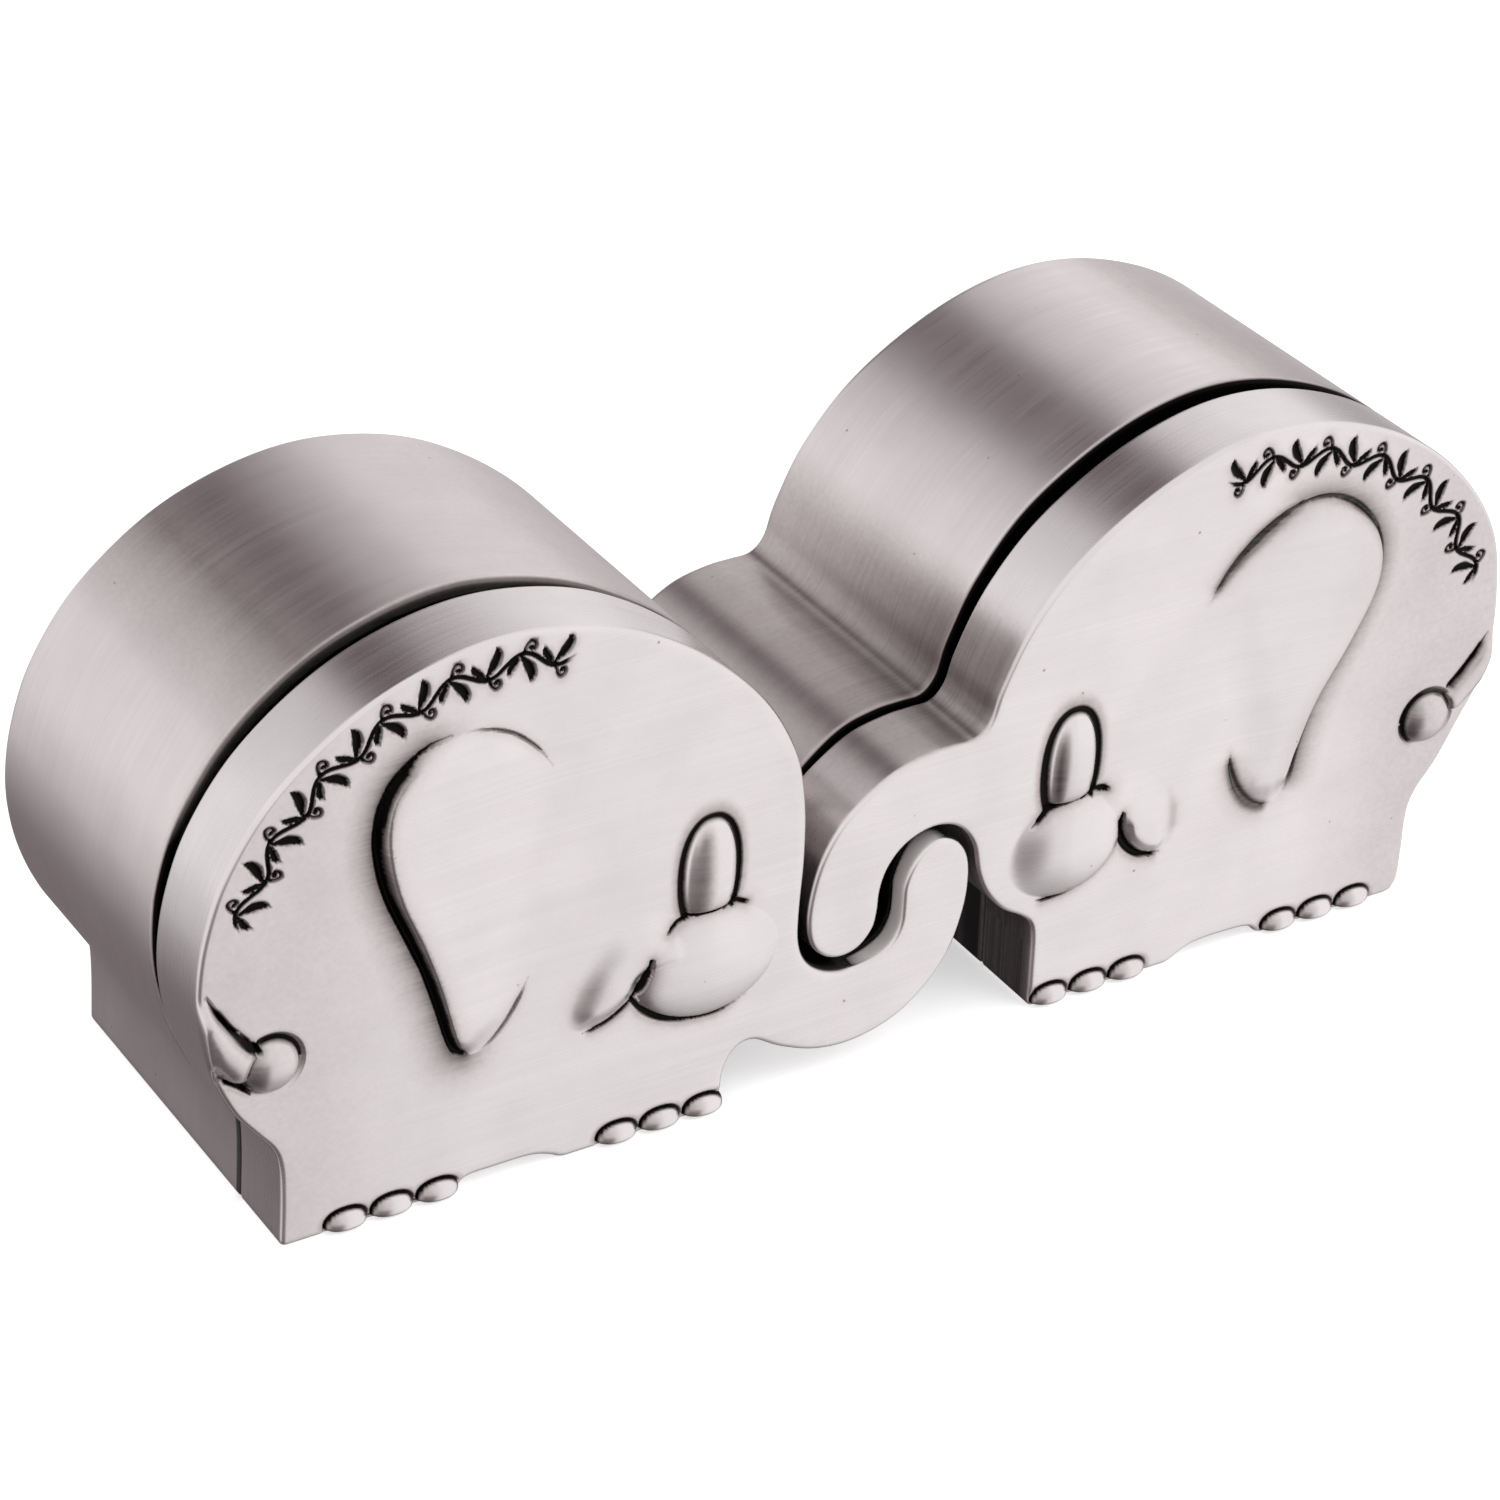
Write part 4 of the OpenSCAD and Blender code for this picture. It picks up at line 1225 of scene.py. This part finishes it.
def spun(name, x, profile, uneven=0.0, count=CORNERS_ROUND):
    """Closed shape from a profile of (radius, y) points, spun round the cavity's axis."""
    angle = np.linspace(0, 2 * math.pi, count, endpoint=False)
    radius, y = np.array(profile).T
    rows = []
    for number, (r, level) in enumerate(zip(radius, y)):
        wave = np.sin(3 * angle + 0.9 * number) + 0.6 * np.sin(7 * angle - 0.5 * number)
        rows.append(np.column_stack([x + r * np.cos(angle), level + uneven * wave * (r > 1),
                                     CAVITY_Z + r * np.sin(angle)]))
    faces, last = [], len(rows) - 1
    for row in range(last):
        for i in range(count):
            j = (i + 1) % count
            faces.append([row * count + i, row * count + j, (row + 1) * count + j,
                          (row + 1) * count + i])
    mesh = bpy.data.meshes.new(name)
    mesh.from_pydata((np.vstack(rows) * MM).tolist(), [], faces)
    return mesh

def closed(mesh):
    """Close the poles, merge doubles and point all faces outwards."""
    work = bmesh.new()
    work.from_mesh(mesh)
    bmesh.ops.remove_doubles(work, verts=work.verts, dist=1e-6)
    bmesh.ops.recalc_face_normals(work, faces=work.faces)
    work.to_mesh(mesh)
    work.free()
    mesh.shade_smooth()
    return mesh

print("a spun lining has", CORNERS_ROUND, "corners round")

# %% [markdown]
# The pad's profile starts in the middle of its back, goes round the rolled edge and climbs to the
# crown in the middle of its front. The sleeve is a thin tube whose front edge is round.

# %% Make the pads and sleeves
SLEEVE_OUT, SLEEVE_IN, SLEEVE_BACK_FROM_LIP = 16.95, 16.35, 0.5
BACK_PAD_R, BACK_PAD_THICK = 16.2, 1.2
LID_PAD_R, LID_PAD_THICK = 15.35, 1.0
EDGE_ROLL, UNEVEN = 0.45, 0.02

def pad_profile(radius, back_y, thickness, way):
    """Profile of a pad from the middle of its back to the middle of its front."""
    roll = EDGE_ROLL * thickness
    profile = [(0, back_y), (radius - roll, back_y)]
    for a in np.linspace(-math.pi / 2, math.pi / 2, 9)[1:]:
        profile.append((radius - roll + roll * math.cos(a),
                        back_y + way * (roll + roll * math.sin(a))))
    for t in np.linspace(0, 1, 13)[1:]:
        crown = (thickness - 2 * roll) * smooth(t, 0, 0.6)
        profile.append(((radius - roll) * (1 - t), back_y + way * (2 * roll + crown)))
    return profile

def sleeve_profile(outer, inner, front_y, back_y):
    """Profile of a thin sleeve with a round front edge, back to its start."""
    mid, half = (outer + inner) / 2, (outer - inner) / 2
    lip_line = [(mid + half * math.cos(a), front_y + half - half * math.sin(a))
                for a in np.linspace(0, math.pi, 9)]
    walls = [(outer, y) for y in np.linspace(back_y, front_y + half, 6)[:-1]]
    return walls + lip_line + [(inner, back_y), (outer, back_y)]

profiles = (
    ("_flock_sleeve", sleeve_profile(SLEEVE_OUT, SLEEVE_IN, Y_LIP + SLEEVE_BACK_FROM_LIP, FLOOR_Y), 0.0),
    ("_back_velvet", pad_profile(BACK_PAD_R, FLOOR_Y, BACK_PAD_THICK, -1), UNEVEN),
    ("_lid_velvet", pad_profile(LID_PAD_R, Y_SPLIT, LID_PAD_THICK, 1), UNEVEN)
)
linings = []
for kind, side in SIDES.items():
    for ending, profile, uneven in profiles:
        mesh = closed(spun(kind + ending, side * CAVITY_X, profile, uneven=uneven))
        linings.append(piece(mesh.name, mesh))

# %% [markdown]
# ## Brush marks
# Brushed metal is never even: thousands of fine scratches run one way, some deeper than others.
# Noise stretched a hundredfold along the grain map gives such marks at any angle of the surface.
# The shader node group below puts out a value for the tone and roughness, and it is used again in
# each metal with its own fineness.

# %% Build the brush mark group
def shader_group(name, inputs, outputs):
    """A new node group with inputs as (label, kind, value) and outputs that are plain values."""
    group = bpy.data.node_groups.new(name, "ShaderNodeTree")
    for label, kind, value in inputs:
        socket = group.interface.new_socket(label, in_out="INPUT", socket_type=kind)
        if value is not None:
            socket.default_value = value
    for label in outputs:
        group.interface.new_socket(label, in_out="OUTPUT", socket_type="NodeSocketFloat")
    return group, group.nodes.new("NodeGroupInput").outputs, group.nodes.new("NodeGroupOutput").inputs

def noise(tree, place, scale, detail):
    """Noise with so many spots to the metre."""
    return add(tree, "ShaderNodeTexNoise", Vector=place, Scale=scale, Detail=detail).outputs["Fac"]

def stretched_noise(tree, vector, along, across, detail=3.0):
    """Noise with so many marks to the metre along and across the grain."""
    scale = add(tree, "ShaderNodeCombineXYZ", X=along, Y=across, Z=1.0)
    place = tree.nodes.new("ShaderNodeVectorMath")
    place.operation = "MULTIPLY"
    fill(tree, place.inputs[0], vector)
    fill(tree, place.inputs[1], scale.outputs[0])
    return noise(tree, place.outputs[0], 1.0, detail)

def brush_group():
    """Fine and broad scratches together, as one value between 0 and 1."""
    group, given, out = shader_group("brush marks", [
        ("Grain", "NodeSocketVector", None), ("Length", "NodeSocketFloat", 55.0),
        ("Fineness", "NodeSocketFloat", 5200.0)], ["Marks"])
    fine = stretched_noise(group, given["Grain"], given["Length"], given["Fineness"])
    broad = stretched_noise(group, given["Grain"], product(group, given["Length"], 0.45),
                            product(group, given["Fineness"], 0.22), 2.0)
    both = math_node(group, "ADD", product(group, fine, 0.62), product(group, broad, 0.38))
    fill(group, out["Marks"], remap(group, both, 0.32, 0.68))
    return group

brush_marks = brush_group()
print("outputs:", [s.name for s in brush_marks.interface.items_tree if s.in_out == "OUTPUT"])

# %% [markdown]
# ## Patina and handling
# The whole casting was blackened and then brushed, so black stays only where the brush didn't
# reach. The attribute "dark" says where that is, and where painted shade lies as well, and below zero it
# says where the cast skin was never plated. The patina's border is broken up a little with noise, and a
# few pinholes keep a dark speck. A cloudy value stands for the faint blotches that handling leaves on
# plain faces.

# %% Build the patina group
def patina_group():
    """How black, how dull and how cloudy the metal is."""
    group, given, out = shader_group("patina", [
        ("Place", "NodeSocketVector", None), ("Dark", "NodeSocketFloat", 0.0),
        ("Ragged", "NodeSocketFloat", 0.16)], ["Black", "Dull", "Clouds"])
    crumbs = math_node(group, "SUBTRACT", noise(group, given["Place"], 2600.0, 3.0), 0.5)
    present = math_node(group, "MINIMUM", product(group, given["Dark"], 6.0), 1.0)
    present = product(group, present, math_node(group, "SUBTRACT", 1.15, given["Dark"]))
    uneven = product(group, product(group, crumbs, given["Ragged"]), present)
    black = remap(group, math_node(group, "ADD", given["Dark"], uneven), 0.02, 0.92)
    pores = add(group, "ShaderNodeTexVoronoi", Vector=given["Place"], Scale=270.0)
    pinholes = remap(group, pores.outputs["Distance"], 0.04, 0.015, 0.0, 0.5)
    fill(group, out["Black"], math_node(group, "MAXIMUM", black, pinholes))
    fill(group, out["Dull"], remap(group, given["Dark"], -0.2, -0.8))
    fill(group, out["Clouds"], noise(group, given["Place"], 190.0, 5.0))
    return group

patina = patina_group()
print("patina group with", len(patina.nodes), "nodes")

# %% [markdown]
# ## The pewter finish
# The metal itself is a Principled shader, fully Metallic except where dull cast skin shows. Its
# colour is a warm light grey that the brush marks lighten and darken a little, and patina and painted
# shade take it down to near black. Brushed metal also spreads its highlights across the marks, which is
# what the
# Anisotropic value is for. That value is the same all over, so it is typed on the shader and not
# linked.

# %% Write helpers for materials
def blank_material(name):
    """A material of that name with an empty tree."""
    material = bpy.data.materials.get(name) or bpy.data.materials.new(name)
    material.use_nodes = True
    material.node_tree.nodes.clear()
    return material, material.node_tree

def grouped(tree, group, **inputs):
    """Place a node group, and return its outputs."""
    node = tree.nodes.new("ShaderNodeGroup")
    node.node_tree = group
    for name, value in inputs.items():
        fill(tree, node.inputs[name], value)
    return node.outputs

def own_place(tree):
    """Coordinates that are fixed to the piece."""
    return tree.nodes.new("ShaderNodeTexCoord").outputs["Object"]

def blend_colours(tree, factor, a, b, mode="MIX"):
    """Mix two colours. The Mix node keeps its colour inputs at 6 and 7 and its colour output at 2."""
    node = tree.nodes.new("ShaderNodeMix")
    node.data_type, node.blend_type = "RGBA", mode
    fill(tree, node.inputs[0], factor)
    fill(tree, node.inputs[6], a)
    fill(tree, node.inputs[7], b)
    return node.outputs[2]

def span(tree, value, low, high):
    """Turn a value between 0 and 1 into one between low and high."""
    return remap(tree, value, 0.0, 1.0, low, high)

def finish_material(tree, shader):
    """Link the shader to the material's output."""
    out = tree.nodes.new("ShaderNodeOutputMaterial")
    tree.links.new(shader.outputs[0], out.inputs["Surface"])

print("materials so far:", [material.name for material in bpy.data.materials])

# %% [markdown]
# The lids and the boxes get one finish each, because the lids were brushed finer and more evenly.
# Both come from the same function.

# %% Make the pewter
PATINA_BLACK, HALF_WIPED = (0.0075, 0.0062, 0.006, 1), (1, 0.93, 0.93, 1)
CAST_SKIN = (0.66, 0.62, 0.61, 1)

def pewter_finish(name, light, deep, rough, length, fineness):
    """Brushed pewter between a light and a deep tone."""
    material, tree = blank_material(name)
    uv = tree.nodes.new("ShaderNodeUVMap")
    uv.uv_map = "grain"
    marks = grouped(tree, brush_marks, Grain=uv.outputs[0], Length=length, Fineness=fineness)
    attribute = tree.nodes.new("ShaderNodeAttribute")
    attribute.attribute_name = "dark"
    dark = attribute.outputs["Fac"]
    wiped = product(tree, math_node(tree, "SUBTRACT", marks["Marks"], 0.5), 0.5,
                    math_node(tree, "SUBTRACT", 1.1, dark), math_node(tree, "MAXIMUM", dark, 0.0))
    streaked = math_node(tree, "ADD", dark, wiped)
    aged = grouped(tree, patina, Place=own_place(tree), Dark=streaked)
    metal = blend_colours(tree, marks["Marks"], deep, light)
    cloud = span(tree, aged["Clouds"], 0.9, 1.08)
    metal = blend_colours(tree, 1.0, metal, cloud, "MULTIPLY")
    warm = math_node(tree, "MINIMUM", product(tree, aged["Black"], 2.0), 1.0)
    metal = blend_colours(tree, warm, metal, HALF_WIPED, "MULTIPLY")
    metal = blend_colours(tree, aged["Dull"], metal, CAST_SKIN)
    colour = blend_colours(tree, aged["Black"], metal, PATINA_BLACK)
    spread = math_node(tree, "ADD", span(tree, marks["Marks"], rough + 0.04, rough - 0.04),
                       product(tree, aged["Black"], 0.2))
    spread = math_node(tree, "ADD", spread, product(tree, aged["Dull"], 0.3))
    bump = add(tree, "ShaderNodeBump", Height=marks["Marks"], Strength=0.08, Distance=0.00002)
    tangent = tree.nodes.new("ShaderNodeTangent")
    tangent.direction_type, tangent.uv_map = "UV_MAP", "grain"
    shader = add(tree, "ShaderNodeBsdfPrincipled", Base_Color=colour, Roughness=spread,
                 Metallic=math_node(tree, "SUBTRACT", 1.0, aged["Dull"]), Anisotropic=0.45,
                 Anisotropic_Rotation=0.25, Normal=bump.outputs[0], Tangent=tangent.outputs[0])
    finish_material(tree, shader)
    return material

lid_pewter = pewter_finish("lid pewter", light=(0.774, 0.736, 0.736, 1), deep=(0.751, 0.714, 0.714, 1),
                           rough=0.27, length=45.0, fineness=4200.0)
box_pewter = pewter_finish("box pewter", light=(0.775, 0.727, 0.727, 1), deep=(0.715, 0.67, 0.67, 1),
                           rough=0.31, length=110.0, fineness=3600.0)
for kind in SIDES:
    covers[kind].data.materials.append(lid_pewter)
    boxes[kind].data.materials.append(box_pewter)
print("pewter on", len(covers) + len(boxes) + len(toes), "pieces")

# %% [markdown]
# ## Velvet, flock and nickel
# Velvet and flock are both short upright fibres. Seen along the surface they look lighter, which
# is what Sheen does. A fine noise breaks the pile into tufts, and a slow one shows where it was
# stroked. The magnets are plated with nickel, which is smooth but for a faint ripple.

# %% Make the soft and the plated finishes
def pile_finish(name, colour, stroked, tuft_scale, sheen):
    """Short upright fibres, lighter where they were stroked."""
    material, tree = blank_material(name)
    tufts = noise(tree, own_place(tree), tuft_scale, 2.0)
    lay = noise(tree, own_place(tree), 160.0, 3.0)
    shade = blend_colours(tree, remap(tree, lay, 0.4, 0.62), colour, stroked)
    shade = blend_colours(tree, 1.0, shade, span(tree, tufts, 0.45, 1.45), "MULTIPLY")
    bump = add(tree, "ShaderNodeBump", Height=tufts, Strength=0.7, Distance=0.0001)
    shader = add(tree, "ShaderNodeBsdfPrincipled", Base_Color=shade, Roughness=0.95,
                 Sheen_Weight=sheen, Sheen_Roughness=0.4, Normal=bump.outputs[0])
    shader.inputs["Sheen Tint"].default_value = (0.55, 0.6, 0.9, 1)
    shader.inputs["Specular IOR Level"].default_value = 0.2
    finish_material(tree, shader)
    return material

def nickel_finish(name):
    """Plating with a faint ripple."""
    material, tree = blank_material(name)
    ripple = noise(tree, own_place(tree), 900.0, 4.0)
    colour = blend_colours(tree, ripple, (0.66, 0.655, 0.65, 1), (0.78, 0.78, 0.785, 1))
    bump = add(tree, "ShaderNodeBump", Height=ripple, Strength=0.15, Distance=0.00005)
    shader = add(tree, "ShaderNodeBsdfPrincipled", Base_Color=colour, Metallic=1.0,
                 Roughness=span(tree, ripple, 0.12, 0.3), Normal=bump.outputs[0])
    finish_material(tree, shader)
    return material

velvet = pile_finish("midnight velvet", colour=(0.075, 0.09, 0.2, 1), stroked=(0.12, 0.145, 0.3, 1),
                     tuft_scale=5200.0, sheen=0.6)
flock = pile_finish("midnight flock", colour=(0.07, 0.085, 0.18, 1), stroked=(0.1, 0.12, 0.25, 1),
                    tuft_scale=3800.0, sheen=0.35)
nickel = nickel_finish("plated nickel")
for lining in linings:
    lining.data.materials.append(flock if "flock" in lining.name else velvet)
magnets = [node for name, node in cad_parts.items() if "magnet" in name]
for magnet in magnets:
    magnet.data.materials.clear()
    magnet.data.materials.append(nickel)
print(len(linings), "linings and", len(magnets), "magnets finished")

# %% [markdown]
# ## Which body each piece belongs to
# The lids pull off and the boxes can be parted, so each piece rides on the body that it moves
# with, and the CAD part that it stands for is hidden.

# %% Hang the pieces on their bodies
STANDS_FOR = {"flock_sleeve": "lining", "back_velvet": "back_pad", "lid_velvet": "lid_pad"}
for kind in SIDES:
    box, cover = kind + "_box", kind + "_cover"
    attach(boxes[kind], box)
    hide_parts(kind + "_body")
    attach(covers[kind], cover)
    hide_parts(kind + "_lid")
    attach(toes[kind], cover)
for lining in linings:
    kind, ending = lining.name.split("_", 1)
    part = STANDS_FOR[ending]
    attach(lining, kind + ("_cover" if part == "lid_pad" else "_box"))
    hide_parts(kind + "_" + part)

# %% [markdown]
# ## The studio
# Polished metal shows its surroundings more than itself, so the light for it is a bright tent with
# a few dark cards. Here the tent is the world: white all round, with a dark strip overhead, wider
# towards the back, that draws the soft dark bands on the backs. The part below and behind is dim,
# and so is a card on the right and behind, which shade the sides that turn their way. A card in
# front and left models the raised shapes.
# Each card is given by how dark it is and by its edges: each edge is a soft step along one axis of
# the direction that the world's own coordinates give. The tent's brightness has such steps as well.

# %% Place the cards of the tent
STRIP_SHIFT, STRIP_HALF = (-0.11, 0.17), (0.38, 0.98)
STRIP_TONE, STRIP_EDGES = 0.98, (("z", 0.0, 0.06), ("y", 0.1, 0.5))
BELOW = (0.86, ("z", -0.08, -0.64), ("y", -0.1, 0.4))
RIGHT_BEHIND = (0.72, ("x", 0.67, 0.735), ("z", 0.35, -0.05), ("y", 0.2, 0.5))
FRONT_LEFT = (0.84, ("x", 0.2, -0.05), ("x", -0.85, -0.65), ("y", 0.0, -0.1), ("z", 0.05, -0.35))
BRIGHTER_RIGHT = (0.08, ("x", 0.38, 0.52), ("y", 0.1, -0.1))
DIMMER_FLOOR = (0.5, ("z", -0.58, -0.95))
DIMMER_LEFT = (0.24, ("x", -0.2, -0.4), ("x", -0.66, -0.48), ("y", 0.1, 0.4))

def s_step(tree, value, low, high, top=1.0):
    """A soft step from 0 at low to the top at high."""
    node = add(tree, "ShaderNodeMapRange", Value=value, From_Min=low, From_Max=high, To_Max=top)
    node.interpolation_type = "SMOOTHSTEP"
    return node.outputs[0]

def card(tree, way, tone, *edges):
    """A card in the tent, from its tone and its edges as (axis, step begins, step ends)."""
    axis, low, high = edges[0]
    steps = [s_step(tree, way[axis], low, high, tone)]
    steps += [s_step(tree, way[axis], low, high) for axis, low, high in edges[1:]]
    return product(tree, *steps)

def overhead_strip(tree, way):
    """Dark strip overhead, which moves to the right and widens towards the back."""
    x, z = way["x"], way["z"]
    around = math_node(tree, "SQRT", math_node(tree, "ADD", product(tree, x, x), product(tree, z, z)))
    lean = math_node(tree, "DIVIDE", x, math_node(tree, "MAXIMUM", around, 0.001))
    middle = remap(tree, way["y"], 0.72, 0.76, *STRIP_SHIFT)
    width = remap(tree, way["y"], 0.72, 0.76, *STRIP_HALF)
    off = math_node(tree, "ABSOLUTE", math_node(tree, "SUBTRACT", lean, middle))
    across = s_step(tree, math_node(tree, "DIVIDE", off, width), 1.0, 0.2, STRIP_TONE)
    return product(tree, across, card(tree, way, 1.0, *STRIP_EDGES))

def tent_cards(tree, way):
    """How far the dark cards cover each direction of the tent."""
    total = overhead_strip(tree, way)
    for shape in (BELOW, RIGHT_BEHIND, FRONT_LEFT):
        total = math_node(tree, "MAXIMUM", card(tree, way, *shape), total)
    return total

def tent_power(tree, way):
    """How bright the tent is: a little more on the right, and less below and on the far left."""
    power = math_node(tree, "ADD", 1.0, card(tree, way, *BRIGHTER_RIGHT))
    for shape in (DIMMER_FLOOR, DIMMER_LEFT):
        power = product(tree, power, math_node(tree, "SUBTRACT", 1.0, card(tree, way, *shape)))
    return power

print("cards as dark as", [shape[0] for shape in (BELOW, RIGHT_BEHIND, FRONT_LEFT)], "and", STRIP_TONE)

# %% [markdown]
# The world's shader mixes two backgrounds: the tent for all reflections and all light, and plain white
# for what the camera itself sees, so the background stays clean.

# %% Hang the tent
TENT_WHITE, CARD_BLACK = (1.0, 0.985, 0.985, 1), (0.1, 0.062, 0.07, 1)

def tent_world():
    """The tent for the object, and plain white for the camera."""
    world = bpy.data.worlds.new("tent")
    world.use_nodes = True
    tree = world.node_tree
    tree.nodes.clear()
    direction = tree.nodes.new("ShaderNodeTexCoord").outputs["Generated"]
    way = dict(zip("xyz", add(tree, "ShaderNodeSeparateXYZ", Vector=direction).outputs))
    tone = blend_colours(tree, tent_cards(tree, way), TENT_WHITE, CARD_BLACK)
    tent = add(tree, "ShaderNodeBackground", Color=tone, Strength=tent_power(tree, way))
    plain = add(tree, "ShaderNodeBackground", Color=(1, 1, 1, 1), Strength=1.0)
    seen = tree.nodes.new("ShaderNodeLightPath").outputs["Is Camera Ray"]
    mix = tree.nodes.new("ShaderNodeMixShader")
    tree.links.new(seen, mix.inputs[0])
    tree.links.new(tent.outputs[0], mix.inputs[1])
    tree.links.new(plain.outputs[0], mix.inputs[2])
    out = tree.nodes.new("ShaderNodeOutputWorld")
    tree.links.new(mix.outputs[0], out.inputs["Surface"])
    return world

bpy.context.scene.world = tent_world()
bpy.context.scene.view_settings.view_transform = "Standard"
print("world:", bpy.context.scene.world.name)

# %% [markdown]
# The floor is white paper. A little extra light that only the camera sees lifts it to clean white
# in the open and leaves the soft shadow under the boxes. One large soft lamp from the front right
# gives the shadow its direction.

# %% Lay the floor and hang the lamp
FLOOR_HALF, FLOOR_GLOW = 3.0, 0.5
LAMP_PLACE, LAMP_SIZE, LAMP_POWER = Vector((0.28, -0.3, 0.5)), 0.4, 1.0

def studio_paper():
    """White paper that glows a little for the camera alone."""
    material, tree = blank_material("studio paper")
    fibres = noise(tree, own_place(tree), 900.0, 3.0)
    bump = add(tree, "ShaderNodeBump", Height=fibres, Strength=0.05, Distance=0.0001)
    seen = tree.nodes.new("ShaderNodeLightPath").outputs["Is Camera Ray"]
    shader = add(tree, "ShaderNodeBsdfPrincipled", Roughness=0.9, Normal=bump.outputs[0],
                 Emission_Strength=product(tree, seen, FLOOR_GLOW))
    shader.inputs["Base Color"].default_value = (0.86, 0.86, 0.86, 1)
    shader.inputs["Emission Color"].default_value = (1, 1, 1, 1)
    finish_material(tree, shader)
    return material

floor_mesh = bpy.data.meshes.new("floor")
corners = [(FLOOR_HALF * x, FLOOR_HALF * y, 0) for x, y in ((-1, -1), (1, -1), (1, 1), (-1, 1))]
floor_mesh.from_pydata(corners, [], [(0, 1, 2, 3)])
floor_mesh.materials.append(studio_paper())
floor = in_scene("floor", floor_mesh)
floor.visible_glossy = False

lamp_data = bpy.data.lights.new("soft lamp", "AREA")
lamp_data.size, lamp_data.energy = LAMP_SIZE, LAMP_POWER
lamp = in_scene("soft lamp", lamp_data)
towards_pair = LAMP_PLACE.to_track_quat("Z", "Y").to_matrix().to_4x4()
lamp.matrix_world = Matrix.Translation(LAMP_PLACE) @ towards_pair
lamp.visible_glossy = False
print("lamp is", round(LAMP_PLACE.length, 2), "m away")
